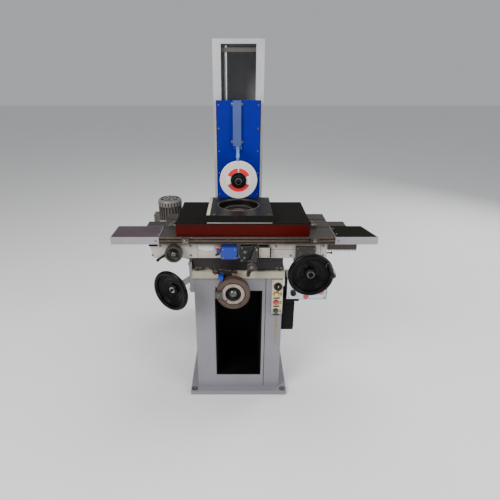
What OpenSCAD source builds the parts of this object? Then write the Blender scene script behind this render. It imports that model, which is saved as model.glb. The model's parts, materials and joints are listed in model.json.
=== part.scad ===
// Surface grinder: base, cross saddle, long table with a magnetic chuck, and a
// wheelhead that climbs a column. X is right, Y is to the rear, Z is up.
// The origin is the centre of the foot, on the floor.

/* [Base and column] */
// Width of the base casting
base_w = 444; // [420:2:470]
// Front to back length of the base casting
base_d = 940; // [940:10:1000]
// Height of the base casting, up to the bed
base_h = 704; // [700:1:710]
// Wall of the base casting
base_wall = 22; // [18:1:26]
// Height of the column's top above the floor
column_top = 1800; // [1780:10:1900]
// Width of the column
column_w = 276; // [270:2:284]

/* [Table and chuck] */
// Length of the magnetic chuck
chuck_l = 622; // [500:2:640]
// Depth of the magnetic chuck, front to back
chuck_d = 340; // [300:5:340]
// Height of the magnetic chuck
chuck_h = 64; // [60:1:70]
// Width of the left tray
left_tray_w = 225; // [150:5:260]
// Width of the right tray at its front
right_tray_w = 199; // [150:1:260]
// Depth of both trays
tray_d = 153; // [120:1:170]
// Height of the work block on the chuck
block_h = 38; // [20:1:38]

/* [Grinding wheel] */
// Diameter of the grinding wheel
wheel_d = 190; // [150:5:190]
// Width of the grinding wheel
wheel_t = 20; // [13:1:24]

/* [Controls] */
// Diameter of the two large handwheels
handwheel_d = 204; // [180:2:210]
// Diameter of the cross feed dial
dial_d = 160; // [140:2:160]
// Diameter of the throttle knob
throttle_d = 82; // [60:2:84]

/* [Hidden] */
$fn = 64;

// Clearances: sliding ways, running shafts, and the overcut of every boolean
slide_gap = 0.3;
run_gap = 0.05;
cut = 1;

// Base and bed
base_x = base_w / 2;
base_y = base_d / 2;
foot_edge = 40;
foot_t = 24;
top_t = 24;
anchor_x = base_x + foot_edge / 2;
anchor_y = base_y + foot_edge / 2;
anchor_r = 9;
bed_over = 6;
bed_front = -base_y - 10;
bed_back = 60;
bed_t = 38;
rail_z = base_h + bed_t + 4;
rail_x = 155;
rail_half = 35;
vee_half = 20;
vee_h = 16;
slot_x0 = -75;
slot_x1 = 25;
slot_y0 = -430;
slot_y1 = 40;

// Open compartment in the front of the base
cab_x = 113;
cab_z0 = 110;
cab_z1 = 623;
cab_depth = 300;
liner_t = 4;

// Cross feed screw, along Y
cross_x = -25;
cross_z = 670;
screw_r = 10;
cross_y0 = -574;
cross_y1 = -90;
dial_y0 = -578;
dial_y1 = -540;
boss_r = 33;
boss_y = -530;

// Saddle
carriage_x = 217;
carriage_y0 = -470;
carriage_y1 = -150;
carriage_z0 = rail_z + slide_gap;
bed_z0 = 817;
bed_z1 = 897;
bed_x0 = -428;
bed_x1 = 423;
bed_y0 = -484;
bed_y1 = -154;
way_z = 880;
front_way = [-434, -360];
rear_way = [-255, -170];
vee_y = -220;
channel = [-466, -434];
tray_floor = 835;
channel_floor = 838;

// Table
table_z0 = 900;
table_z1 = 936;
table_x0 = -372;
table_x1 = 452;
table_y0 = -514;
table_y1 = -170;
rail_x0 = -480;
rail_x1 = 563;
clamp_y = -375;

// Table drive: rack above a pinion on the right handwheel's shaft
gear_m = 4;
pinion_n = 14;
pinion_r = gear_m * pinion_n / 2;
rack_pitch = PI * gear_m;
tooth_share = 0.36;
pinion_x = 319;
pinion_z = 819;
pinion_y0 = -462;
pinion_y1 = -438;
rack_z = pinion_z + pinion_r;
rack_teeth = 45;
rack_x0 = 6;
table_wheel_y = -670;
table_shaft_r = 9;
crank_angle = 36;
crank_r = 88;
crank_at = [pinion_x + crank_r * cos(crank_angle), pinion_z + crank_r * sin(crank_angle)];
stud_r = 5;

// Chuck and work block
chuck_x0 = -290;
chuck_y0 = -502;
chuck_z0 = table_z1;
chuck_z1 = chuck_z0 + chuck_h;
pole_t = 6;
block_x0 = -147;
block_w = 305;
block_d = 300;
pocket_r = 100;
pocket_y = chuck_y0 + 172;
pocket_depth = 30;

// Wheelhead and spindle, along Y
spindle_z = chuck_z1 + block_h + 0.5 + wheel_d / 2;
wheel_y1 = -202;
wheel_y0 = wheel_y1 - wheel_t;
housing_r = 55;
housing_y0 = -180;
housing_y1 = 205;
spindle_r = 22;
nose_r = 15.9;
bearing_r = 44;

// Oil line: down the apron, then forward over the wheel
oil_x = -4;
oil_y = 57.5;
oil_z = 1248;

// Column: two flat ways in front of a box
col_x = column_w / 2;
col_y0 = 103;
col_y1 = 443;
col_wall = 24;
way_t = 32;
way_x = 94;
col_foot_t = 30;
col_z0 = base_h + col_foot_t;
col_crown = 24;

// Elevating drive: handwheel, angled shaft, coupling, long shaft, mitre gears, screw
lift_x = -70;
lift_y = 150;
lift_z = 682;
lift_r = 8;
wheel_turn = 32;
wall_entry = [-base_x, -405, lift_z];
wheel_reach = 190;
inner_reach = 95;
wheel_dir = [sin(wheel_turn), cos(wheel_turn), 0];
lift_wheel = wall_entry - wheel_reach * wheel_dir;
joint_at = wall_entry + inner_reach * wheel_dir;
shaft_turn = atan2(lift_x - joint_at[0], lift_y - joint_at[1]);
shaft_len = norm([lift_x, lift_y] - [joint_at[0], joint_at[1]]);
coupling_r = 18;
coupling_t = 11;
coupling_gap = 5;
mitre_big = 21;
mitre_small = 11;
mitre_gap = 0.4;
mitre_teeth = 10;

// Levers and knobs on the saddle's front
lever_x = 62;
lever_z = 800;
throttle_x = -304;
throttle_z = 857;

// Button panel and side boxes
panel_x0 = 168;
panel_z0 = 504;
panel_z1 = 694;
panel_y = -base_y - 10;
button_x = 190;
box_x0 = 240;
box_x1 = 445;
box_z0 = 580;
box_z1 = 705;
box_y0 = -468;
box_y1 = -380;

// Hydraulic pump unit on the left of the base
pump_x = -424;
pump_y = 180;
shelf_z0 = 556;
shelf_z1 = 572;
motor_z1 = 884;

// ---- helpers -------------------------------------------------------------

// A block given by its two corners on each axis
module block(x, y, z) {
    translate([x[0], y[0], z[0]])
        cube([x[1] - x[0], y[1] - y[0], z[1] - z[0]]);
}

// A round bar along Y, from y[0] to y[1]
module bar_y(x, z, y, r) {
    translate([x, y[0], z])
        rotate([-90, 0, 0])
            cylinder(h = y[1] - y[0], r = r);
}

// A round bar along X, from x[0] to x[1]
module bar_x(y, z, x, r) {
    translate([x[0], y, z])
        rotate([0, 90, 0])
            cylinder(h = x[1] - x[0], r = r);
}

// A round bar along Z, from z[0] to z[1]
module bar_z(x, y, z, r) {
    translate([x, y, z[0]])
        cylinder(h = z[1] - z[0], r = r);
}

// Turns a shape built along +Z to a level heading, measured from +Y towards +X
module heading(at, turn) {
    translate(at)
        rotate([0, 0, -turn])
            rotate([-90, 0, 0])
                children();
}

// Extrudes an outline drawn in X and Z along Y
module slab_y(y) {
    translate([0, y[1], 0])
        rotate([90, 0, 0])
            linear_extrude(height = y[1] - y[0])
                children();
}

// Extrudes an outline drawn in Y and Z along X
module slab_x(x) {
    translate([x[0], 0, 0])
        rotate([90, 0, 90])
            linear_extrude(height = x[1] - x[0])
                children();
}

// Dished handwheel, rim at z = 0 and the hub further along +Z
module dished_wheel(r, bore) {
    rim_r = 11;
    hub_r = 24;
    difference() {
        union() {
            rotate_extrude()
                translate([r - rim_r, 0])
                    circle(rim_r);
            rotate_extrude()
                polygon([[hub_r - 4, 26], [r - 18, 2], [r - 8, -3], [r - 8, 6], [r - 18, 10], [hub_r - 4, 36]]);
            translate([0, 0, 18])
                cylinder(h = 34, r = hub_r);
        }
        translate([0, 0, -cut])
            cylinder(h = 60, r = bore);
    }
}

// Mitre gear with its small end at z = 0
module mitre_gear() {
    face = mitre_big - mitre_small;
    difference() {
        cylinder(h = face, r1 = mitre_small - mitre_gap, r2 = mitre_big - mitre_gap);
        for (i = [0 : mitre_teeth - 1])
            rotate([0, 0, i * 360 / mitre_teeth])
                translate([mitre_small - 2, 0, 0])
                    rotate([0, 45, 0])
                        translate([0, -1.2, -10])
                            cube([6, 2.4, 40]);
    }
}

// ---- base ----------------------------------------------------------------

module base_casting() {
    color("#908f95")
    difference() {
        union() {
            block([-base_x, base_x], [-base_y, base_y], [0, base_h]);
            block([-base_x - foot_edge, base_x + foot_edge], [-base_y - foot_edge, base_y + foot_edge], [0, foot_t]);
        }
        block([base_wall - base_x, base_x - base_wall], [base_wall - base_y, base_y - base_wall],
            [foot_t, base_h - top_t]);
        // open under the bed, with a slot back to the mitre gears
        block([base_wall - base_x, base_x - base_wall], [-430, 50], [base_h - top_t - cut, base_h + cut]);
        block([lift_x - 40, lift_x + 40], [50 - cut, 190], [base_h - top_t - cut, base_h + cut]);
        // compartment opening, cross screw and elevating shaft
        block([-cab_x - liner_t, cab_x + liner_t], [-base_y - cut, base_wall - base_y + cut],
            [cab_z0 - liner_t, cab_z1 + liner_t]);
        bar_y(cross_x, cross_z, [-base_y - cut, -429], 20);
        heading(wall_entry, wheel_turn)
            translate([0, 0, -40])
                cylinder(h = 110, r = 16);
        for (x = [-anchor_x, anchor_x], y = [-anchor_y, anchor_y])
            bar_z(x, y, [-cut, foot_t + cut], anchor_r);
    }
}

module bed_top() {
    color("#c9c8b8")
    difference() {
        union() {
            block([-base_x - bed_over, base_x + bed_over], [bed_front, bed_back], [base_h, base_h + bed_t]);
            block([rail_x - rail_half, rail_x + rail_half], [-455, bed_back], [base_h + bed_t - cut, rail_z]);
            slab_y([-455, bed_back])
                polygon([[-rail_x - rail_half, base_h + bed_t - cut], [-rail_x - rail_half, rail_z],
                    [-rail_x - vee_half, rail_z], [-rail_x, rail_z + vee_h], [-rail_x + vee_half, rail_z],
                    [-rail_x + rail_half, rail_z], [-rail_x + rail_half, base_h + bed_t - cut]]);
        }
        block([slot_x0, slot_x1], [slot_y0, slot_y1], [base_h - cut, rail_z + cut]);
    }
}

module cabinet_liner() {
    color("#101010")
    difference() {
        block([-cab_x - liner_t, cab_x + liner_t], [-base_y, -base_y + cab_depth],
            [cab_z0 - liner_t, cab_z1 + liner_t]);
        block([-cab_x, cab_x], [-base_y - cut, -base_y + cab_depth - liner_t], [cab_z0, cab_z1]);
    }
}

module button_panel() {
    color("#dcd7be")
    difference() {
        block([panel_x0, base_x], [panel_y, -base_y], [panel_z0, panel_z1]);
        bar_y(197, 659, [panel_y - cut, -base_y + cut], 8);
        for (z = [617, 570, 521])
            bar_y(button_x, z, [panel_y - cut, -base_y + cut], 8.3);
    }
}

module column() {
    color("#b9b8b6")
    difference() {
        union() {
            block([-col_x, col_x], [col_y0, col_y1], [col_z0 - cut, column_top]);
            block([-col_x - 32, col_x + 32], [col_y0 - 8, base_y - 5], [base_h, col_z0]);
        }
        block([col_wall - col_x, col_x - col_wall], [col_y0 + way_t, col_y1 + cut], [col_z0, column_top - col_crown]);
        block([-way_x, way_x], [col_y0 - cut, col_y0 + way_t + cut], [col_z0, column_top - col_crown]);
        bar_z(lift_x, lift_y, [base_h - cut, col_z0 + cut], 30);
    }
}

module column_rear_cover() {
    color("#a9a8a6")
    difference() {
        block([-col_x, col_x], [col_y1, col_y1 + 4], [col_z0, column_top]);
        for (i = [0 : 7])
            block([-70, 70], [col_y1 - cut, col_y1 + 5], [1040 + i * 26, 1050 + i * 26]);
    }
}

// Bearings of the elevating drive: under the crown, on the foot, and below the bed
module screw_bearings() {
    color("#6d6a66") {
        difference() {
            block([col_wall - col_x, col_x - col_wall], [135, 172], [1738, 1760]);
            bar_z(lift_x, lift_y, [1738 - cut, 1760 + cut], screw_r + run_gap);
        }
        difference() {
            block([lift_x - 36, lift_x + 36], [lift_y - 13, lift_y + 36], [col_z0, col_z0 + 30]);
            bar_z(lift_x, lift_y, [col_z0 - cut, col_z0 + 30 + cut], screw_r + run_gap);
        }
        difference() {
            union() {
                block([lift_x - 60, lift_x + 60], [76, 96], [lift_z - 30, base_h - top_t]);
                block([lift_x - 40, lift_x + 40], [76, 96], [base_h - top_t, base_h]);
            }
            heading([joint_at[0], joint_at[1], lift_z], shaft_turn)
                translate([0, 0, shaft_len - 120])
                    cylinder(h = 100, r = lift_r + run_gap);
        }
    }
}

module elevating_bracket() {
    color("#8f8e92")
    difference() {
        union() {
            block([-base_x - 22, -base_x], [-462, -368], [617, base_h - 4]);
            block([-base_x - 22, -base_x - bed_over - 1], [-462, -368], [617, 785]);
            heading(lift_wheel, wheel_turn)
                translate([0, 0, 56])
                    cylinder(h = 176, r = 15);
        }
        heading(lift_wheel, wheel_turn)
            cylinder(h = 240, r = lift_r + run_gap);
    }
}

// Boss for the cross screw, with the clamp that reaches round the dial's left edge
module cross_screw_housing() {
    dial_edge = cross_x - dial_d / 2;
    color("#3a3a38")
    difference() {
        union() {
            bar_y(cross_x, cross_z, [boss_y, -base_y], boss_r);
            bar_y(cross_x, cross_z, [-base_y, -base_y + 30], 20);
            block([dial_edge - 7, cross_x - 14], [boss_y - 8, boss_y + 4], [cross_z - 7, cross_z + 7]);
            block([dial_edge - 7, dial_edge - 1.5], [dial_y0 - 14, boss_y], [cross_z - 16, cross_z + 16]);
            block([dial_edge - 7, dial_edge + 30], [dial_y0 - 14, dial_y0 - 2], [cross_z - 16, cross_z + 16]);
        }
        bar_y(cross_x, cross_z, [boss_y - 10, -base_y + 31], screw_r + run_gap);
    }
}

module switch_box() {
    color("#151515")
    difference() {
        block([box_x0, box_x1], [box_y0, box_y1], [box_z0, box_z1]);
        block([box_x0 + 4, box_x1 - 4], [box_y0 - cut, box_y1 - 4], [box_z0 + 4, box_z1 - 4]);
    }
}

module switch_box_face() {
    color("#dfe4e8")
    difference() {
        block([box_x0 + 4, box_x1 - 4], [box_y0 - 3, box_y0 + 3], [box_z0 + 4, box_z1 - 4]);
        bar_y(274, 623, [box_y0 - 4, box_y0 + 4], 4 + run_gap);
    }
}

module junction_box() {
    color("#101211")
    difference() {
        union() {
            block([base_x, 288], [-440, -330], [381, 556]);
            block([base_x, 310], [-446, -324], [556, box_z0]);
            bar_z(274, -385, [365, 382], 13);
        }
        block([base_x + 4, 284], [-436, -334], [390, 552]);
        bar_z(274, -385, [360, 391], 9);
    }
}

module pump_shelf() {
    color("#77767a")
    difference() {
        union() {
            block([pump_x - 80, -base_x], [pump_y - 80, pump_y + 80], [shelf_z0, shelf_z1]);
            for (y = [pump_y - 70, pump_y + 60])
                slab_y([y, y + 10])
                    polygon([[-base_x, shelf_z0 + cut], [-base_x, 512], [-base_x - 12, 512], [-345, shelf_z0 - 8],
                        [-345, shelf_z0 + cut]]);
        }
        bar_z(pump_x, pump_y, [shelf_z0 - cut, shelf_z1 + cut], 40);
    }
}

module pump_motor() {
    fins = 24;
    color("#59504e")
    union() {
        bar_z(pump_x, pump_y, [shelf_z1, shelf_z1 + 14], 68);
        bar_z(pump_x, pump_y, [shelf_z1, motor_z1], 60);
        bar_z(pump_x, pump_y, [506, shelf_z1 + cut], 39);
        for (i = [0 : fins - 1])
            translate([pump_x, pump_y, 0])
                rotate([0, 0, i * 360 / fins])
                    block([55, 71], [-1.5, 1.5], [shelf_z1 + 30, motor_z1 - 6]);
        block([pump_x - 98, pump_x - 50], [pump_y - 30, pump_y + 30], [700, 827]);
    }
}

module pump_motor_cover() {
    color("#8a8686")
    difference() {
        union() {
            bar_z(pump_x, pump_y, [motor_z1, 910], 72);
            translate([pump_x, pump_y, 910])
                cylinder(h = 10, r1 = 72, r2 = 66);
        }
        bar_z(pump_x, pump_y, [motor_z1 - cut, 906], 66);
    }
}

// ---- saddle --------------------------------------------------------------

module saddle_carriage() {
    vee_gap = 0.5;
    color("#302e33")
    difference() {
        block([-carriage_x, carriage_x], [carriage_y0, carriage_y1], [carriage_z0, bed_z0]);
        slab_y([carriage_y0 - cut, carriage_y1 + cut])
            polygon([[-rail_x - vee_half - vee_gap, rail_z], [-rail_x, rail_z + vee_h + vee_gap],
                [-rail_x + vee_half + vee_gap, rail_z]]);
        for (x = [[-115, -55], [5, 110]])
            block(x, [-440, -180], [carriage_z0 - cut, bed_z0 - 20]);
    }
}

module saddle_bed() {
    color("#b5b0ab")
    difference() {
        slab_x([bed_x0, bed_x1])
            polygon([[bed_y0, bed_z0], [bed_y1, bed_z0], [bed_y1, bed_z1], [rear_way[1], bed_z1],
                [rear_way[1], way_z], [vee_y + 18.5, way_z], [vee_y, way_z - 18.5], [vee_y - 18.5, way_z],
                [rear_way[0], way_z], [rear_way[0], tray_floor], [front_way[1], tray_floor],
                [front_way[1], way_z], [front_way[0], way_z], [channel[1], channel_floor],
                [channel[0], channel_floor], [channel[0], bed_z1], [bed_y0, bed_z1]]);
        // the left end leans in towards its foot
        slab_y([bed_y0 - cut, bed_y1 + cut])
            polygon([[bed_x0 - cut, bed_z1], [bed_x0, bed_z1], [bed_x0 + 20, bed_z0 - cut], [bed_x0 - cut, bed_z0 - cut]]);
        // room for the pinion and its housing
        block([pinion_x - 47, pinion_x + 47], [bed_y0 - cut, channel[0]], [bed_z0 - cut, way_z]);
        block([pinion_x - 36, pinion_x + 36], [channel[0] - cut, channel[1] + 0.001], [bed_z0 - cut, channel_floor + cut]);
        bar_y(throttle_x, throttle_z, [bed_y0 - cut, channel[0] + cut], 6 + run_gap);
    }
}

module pinion_housing() {
    color("#55524a")
    difference() {
        union() {
            block([pinion_x - 47, pinion_x + 47], [bed_y0 - 16, channel[0]], [778, way_z]);
            block([pinion_x - 47, pinion_x + 47], [channel[0] - cut, -425], [778, bed_z0]);
            bar_y(pinion_x, pinion_z, [-600, bed_y0 - 15], 25);
            translate([pinion_x, -560, pinion_z])
                rotate([-90, 0, 0])
                    cylinder(h = 61, r1 = 25, r2 = 42);
        }
        block([pinion_x - 36, pinion_x + 36], [pinion_y0 - 2, pinion_y1 + 2], [784, bed_z0 + cut]);
        bar_y(pinion_x, pinion_z, [-601, pinion_y0], table_shaft_r + run_gap);
    }
}

module valve_body() {
    color("#14181a")
    difference() {
        union() {
            block([8, 88], [bed_y0 - 36, bed_y0], [812, 893]);
            bar_y(lever_x, lever_z, [bed_y0 - 44, bed_y0], 24);
        }
        bar_y(lever_x, lever_z, [bed_y0 - 45, bed_y0 - 10], 7 + run_gap);
    }
}

module solenoid_valve() {
    color("#224b9f")
    union() {
        block([-81, -8], [bed_y0 - 56, bed_y0], [835, 895]);
        bar_x(bed_y0 - 26, 866, [-104, -80], 12);
    }
}

module limit_switch() {
    color("#b7ab9b")
    block([97, 147], [bed_y0 - 34, bed_y0], [833, 882]);
}

module cross_nut() {
    color("#a9894c")
    difference() {
        block([cross_x - 20, cross_x + 20], [-350, -310], [648, carriage_z0]);
        bar_y(cross_x, cross_z, [-351, -309], screw_r + 0.1);
    }
}

// ---- table ---------------------------------------------------------------

module table() {
    color("#6a6058")
    difference() {
        union() {
            block([table_x0, table_x1], [table_y0, table_y1], [table_z0, table_z1]);
            block([rail_x0, rail_x1], [-425, -370], [way_z + slide_gap, table_z0]);
            block([rail_x0, rail_x1], [vee_y - 30, vee_y + 30], [way_z + slide_gap, table_z0]);
            slab_x([rail_x0, rail_x1])
                polygon([[vee_y - 18, way_z + 1], [vee_y, way_z - 17.5], [vee_y + 18, way_z + 1]]);
            block([rail_x1 - 40, rail_x1], [-462, vee_y + 30], [table_z0 - 12, table_z0]);
            block([rail_x0, rail_x0 + 40], [-462, vee_y + 30], [table_z0 - 12, table_z0]);
        }
        // grooves along the front for the trip dogs, and T slots in the top
        for (z = [[921, 927], [905, 911]])
            block([table_x0 - cut, table_x1 + cut], [table_y0 - cut, table_y0 + 9], z);
        for (y = [clamp_y, -260]) {
            block([table_x0 - cut, table_x1 + cut], [y - 6, y + 6], [table_z1 - 12, table_z1 + cut]);
            block([table_x0 - cut, table_x1 + cut], [y - 11, y + 11], [table_z1 - 20, table_z1 - 11]);
        }
        // the rack hangs in the front rail's left shoulder
        block([rack_x0, rail_x1 + cut], [-463, pinion_y1], [way_z - cut, table_z0]);
    }
}

// Rack teeth point down at the pinion
module table_rack() {
    half = rack_pitch * tooth_share / 2;
    lean = gear_m * tan(20);
    root_z = rack_z + 1.25 * gear_m;
    tip_z = rack_z - gear_m;
    rack_len = rack_teeth * rack_pitch;
    // a rack gap stands over the pinion's top tooth
    start = pinion_x - rack_pitch * (round((pinion_x - rack_x0) / rack_pitch) - 0.5);
    color("#3f3c3a")
    union() {
        block([start - rack_pitch / 2, start - rack_pitch / 2 + rack_len], [pinion_y0, pinion_y1], [root_z, table_z0]);
        slab_y([pinion_y0, pinion_y1])
            for (i = [0 : rack_teeth - 1])
                translate([start + i * rack_pitch, 0])
                    polygon([[-half - 1.25 * lean, root_z + cut], [-half + lean, tip_z],
                        [half - lean, tip_z], [half + 1.25 * lean, root_z + cut]]);
    }
}

module left_tray() {
    x0 = table_x0 - left_tray_w;
    color("#a49da1")
    difference() {
        block([x0, table_x0], [table_y0, table_y0 + tray_d], [table_z0, table_z1]);
        block([x0 + 3, table_x0 - 3], [table_y0 + 3, table_y0 + tray_d - 3], [table_z0 - cut, table_z1 - 3]);
    }
}

module right_tray() {
    slant = 41;
    x1 = table_x1 + right_tray_w;
    y1 = table_y0 + tray_d;
    color("#9e9aa1")
    difference() {
        translate([0, 0, table_z0])
            linear_extrude(height = table_z1 - table_z0)
                polygon([[table_x1, table_y0], [x1, table_y0], [x1 - slant, y1], [table_x1, y1]]);
        translate([0, 0, table_z0 - cut])
            linear_extrude(height = table_z1 - table_z0 - 3 + cut)
                polygon([[table_x1 + 3, table_y0 + 3], [x1 - 4, table_y0 + 3],
                    [x1 - slant - 4, y1 - 3], [table_x1 + 3, y1 - 3]]);
    }
}

module trip_dogs() {
    color("#4a4542")
    for (x = [-262, 338])
        union() {
            block([x, x + 30], [table_y0 - 12, table_y0], [908, 932]);
            bar_y(x + 15, 920, [table_y0 - 20, table_y0 - 11], 8);
        }
}

module chuck_body() {
    color("#52140a")
    block([chuck_x0, chuck_x0 + chuck_l], [chuck_y0, chuck_y0 + chuck_d], [chuck_z0, chuck_z1 - pole_t]);
}

module chuck_plate() {
    color("#15140f")
    block([chuck_x0, chuck_x0 + chuck_l], [chuck_y0, chuck_y0 + chuck_d], [chuck_z1 - pole_t, chuck_z1]);
}

// A toe clamp and its bolt at each end of the chuck
module chuck_clamps() {
    color("#b8b4a8")
    for (x = [[chuck_x0 - 52, chuck_x0], [chuck_x0 + chuck_l, chuck_x0 + chuck_l + 52]])
        union() {
            block(x, [clamp_y - 14, clamp_y + 14], [table_z1, table_z1 + 14]);
            bar_z((x[0] + x[1]) / 2, clamp_y, [table_z1 + 13, table_z1 + 26], 9);
        }
}

module work_block() {
    color("#0e100d")
    difference() {
        block([block_x0, block_x0 + block_w], [chuck_y0, chuck_y0 + block_d], [chuck_z1, chuck_z1 + block_h]);
        bar_z(0, pocket_y, [chuck_z1 + block_h - pocket_depth, chuck_z1 + block_h + cut], pocket_r);
    }
}

// ---- wheelhead -----------------------------------------------------------

module head_carriage() {
    color("#7b7a7c")
    difference() {
        union() {
            block([-118, 118], [81, col_y0 - slide_gap], [990, 1400]);
            for (s = [-1, 1])
                mirror([s < 0 ? 1 : 0, 0, 0]) {
                    block([84, way_x - slide_gap], [col_y0 - 2, 151], [990, 1400]);
                    block([way_x - 2, 111], [col_y0 + way_t + slide_gap, 151], [990, 1400]);
                }
        }
        bar_y(0, spindle_z, [70, 160], housing_r);
    }
}

module head_apron() {
    color("#1c3aa5")
    difference() {
        block([-121, 121], [66, 81], [958, 1500]);
        block([-117, 117], [70, 81 + cut], [962, 1496]);
        bar_y(0, spindle_z, [60, 82], housing_r);
    }
}

module spindle_housing() {
    color("#1d2a4e")
    difference() {
        bar_y(0, spindle_z, [housing_y0, housing_y1], housing_r);
        bar_y(0, spindle_z, [housing_y0 - cut, housing_y1 + cut], 30);
        bar_y(0, spindle_z, [housing_y0 - cut, -122], bearing_r);
        bar_y(0, spindle_z, [142, 188], bearing_r);
    }
}

module spindle_bearings() {
    color("#c0c0c4")
    for (y = [[-178, -122], [142, 188]])
        difference() {
            bar_y(0, spindle_z, y, bearing_r);
            bar_y(0, spindle_z, [y[0] - cut, y[1] + cut], spindle_r + run_gap);
        }
}

module spindle_motor() {
    color("#6c6f72")
    difference() {
        union() {
            bar_y(0, spindle_z, [housing_y1, 425], 92);
            for (a = [0 : 15 : 345])
                translate([0, 0, spindle_z])
                    rotate([0, a, 0])
                        block([88, 98], [240, 400], [-2, 2]);
        }
        bar_y(0, spindle_z, [housing_y1 + 10, 415], 82);
        bar_y(0, spindle_z, [housing_y1 - cut, housing_y1 + 11], 23);
    }
}

module elevating_nut() {
    color("#a9894c")
    difference() {
        block([-84, -57], [lift_y - 14, lift_y + 14], [1010, 1050]);
        bar_z(lift_x, lift_y, [1009, 1051], screw_r + 0.1);
    }
}

// Channel that carries the oil line down the apron
module oil_guard() {
    color("#8c93a6")
    difference() {
        block([-31, 15], [48, 66], [oil_z + 12, 1500]);
        block([-27, 11], [52, 66 + cut], [oil_z + 11, 1501]);
    }
}

module oil_line() {
    color("#5b86c8")
    union() {
        bar_z(oil_x, oil_y, [1204, 1496], 5);
        bar_z(oil_x, oil_y, [spindle_z + housing_r, 1205], 8);
        bar_y(oil_x, oil_z, [-212, oil_y], 6);
        bar_z(oil_x, -212, [oil_z - 14, oil_z], 6);
        bar_z(oil_x, oil_y, [oil_z - 9, oil_z + 9], 8);
    }
}

// ---- spindle -------------------------------------------------------------

module spindle() {
    color("#b9babd")
    union() {
        bar_y(0, spindle_z, [-252, -185], nose_r);
        bar_y(0, spindle_z, [-186, 216], spindle_r);
        bar_y(0, spindle_z, [215, 408], 16);
        bar_y(0, spindle_z, [240, 385], 62);
    }
}

module wheel_flanges() {
    color("#26272a")
    difference() {
        union() {
            bar_y(0, spindle_z, [wheel_y1, -188], 42);
            bar_y(0, spindle_z, [wheel_y0 - 8, wheel_y0], 40);
            bar_y(0, spindle_z, [wheel_y0 - 14, wheel_y0 - 7], 31);
            translate([0, wheel_y0 - 26, spindle_z])
                rotate([-90, 0, 0])
                    cylinder(h = 13, r = 23, $fn = 6);
        }
        bar_y(0, spindle_z, [-252, -180], nose_r);
    }
}

module grinding_wheel() {
    color("#d9d6d2")
    difference() {
        bar_y(0, spindle_z, [wheel_y0, wheel_y1], wheel_d / 2);
        bar_y(0, spindle_z, [wheel_y0 - cut, wheel_y1 + cut], nose_r);
    }
}

// ---- handwheels and screws -----------------------------------------------

module table_handwheel() {
    color("#0b0c0b")
    union() {
        translate([pinion_x, table_wheel_y, pinion_z])
            rotate([-90, 0, 0])
                dished_wheel(handwheel_d / 2, table_shaft_r);
        bar_y(crank_at[0], crank_at[1], [table_wheel_y - 92, table_wheel_y], stud_r);
    }
}

module table_wheel_shaft() {
    half = rack_pitch * tooth_share / 2;
    lean = gear_m * tan(20);
    root_r = pinion_r - 1.25 * gear_m;
    color("#a8a9ab")
    union() {
        bar_y(pinion_x, pinion_z, [table_wheel_y + 4, pinion_y1], table_shaft_r);
        bar_y(pinion_x, pinion_z, [table_wheel_y - 4, table_wheel_y + 18], 15);
        bar_y(pinion_x, pinion_z, [pinion_y0, pinion_y1], root_r);
        for (i = [0 : pinion_n - 1])
            translate([pinion_x, 0, pinion_z])
                rotate([0, i * 360 / pinion_n, 0])
                    slab_y([pinion_y0, pinion_y1])
                        polygon([[-half - 1.25 * lean, root_r - 2], [-half + lean * 0.9, pinion_r + gear_m],
                            [half - lean * 0.9, pinion_r + gear_m], [half + 1.25 * lean, root_r - 2]]);
    }
}

module crank_grip() {
    bore = stud_r + run_gap;
    color("#0b0c0b")
    translate([crank_at[0], table_wheel_y - 12, crank_at[1]])
        rotate([90, 0, 0])
            rotate_extrude()
                polygon([[bore, 0], [8, 0], [13, 30], [14.5, 78], [11, 104], [0, 110], [0, 82], [bore, 82]]);
}

module cross_dial() {
    color("#3d322b")
    difference() {
        bar_y(cross_x, cross_z, [dial_y0, dial_y1], dial_d / 2);
        bar_y(cross_x, cross_z, [dial_y0 - cut, dial_y0 + 20], 38);
        bar_y(cross_x, cross_z, [dial_y0 - cut, dial_y1 + cut], screw_r);
    }
}

module cross_screw() {
    color("#b0b1b3")
    union() {
        bar_y(cross_x, cross_z, [cross_y0, cross_y1], screw_r);
        bar_y(cross_x, cross_z, [dial_y0 + 2, dial_y0 + 20], 18);
    }
}

module elevating_handwheel() {
    color("#0b0c0b")
    heading(lift_wheel, wheel_turn)
        union() {
            dished_wheel(handwheel_d / 2, lift_r - 1);
            translate([0, 0, 8])
                cylinder(h = wheel_reach + inner_reach - coupling_gap - 8, r = lift_r);
            translate([0, 0, wheel_reach + inner_reach - coupling_gap - coupling_t])
                cylinder(h = coupling_t, r = coupling_r);
        }
}

module elevating_shaft() {
    color("#9fa0a2")
    heading([joint_at[0], joint_at[1], lift_z], shaft_turn)
        union() {
            translate([0, 0, coupling_gap])
                cylinder(h = coupling_t, r = coupling_r);
            translate([0, 0, coupling_gap])
                cylinder(h = shaft_len - mitre_small - coupling_gap, r = lift_r);
            translate([0, 0, shaft_len - mitre_small])
                rotate([180, 0, 0])
                    mitre_gear();
        }
}

module elevating_screw() {
    color("#9fa0a2")
    translate([lift_x, lift_y, 0])
        union() {
            translate([0, 0, lift_z + mitre_small])
                mitre_gear();
            translate([0, 0, lift_z + mitre_small + 1])
                cylinder(h = 1770 - lift_z - mitre_small - 1, r = screw_r);
        }
}

// ---- levers, knobs and buttons -------------------------------------------

module reverse_lever() {
    y = bed_y0 - 62;
    color("#2e2927")
    union() {
        bar_y(lever_x, lever_z, [y - 6, bed_y0 - 46], 20);
        bar_y(lever_x, lever_z, [bed_y0 - 47, bed_y0 - 12], 7);
        slab_y([y, y + 10])
            polygon([[lever_x - 12, lever_z + 10], [lever_x + 14, lever_z + 92], [lever_x + 30, lever_z + 88],
                [lever_x + 14, lever_z + 4], [lever_x - 8, lever_z - 44], [lever_x - 24, lever_z - 40]]);
        bar_y(lever_x - 16, lever_z - 41, [y - 10, y + 12], 8);
    }
}

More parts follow.
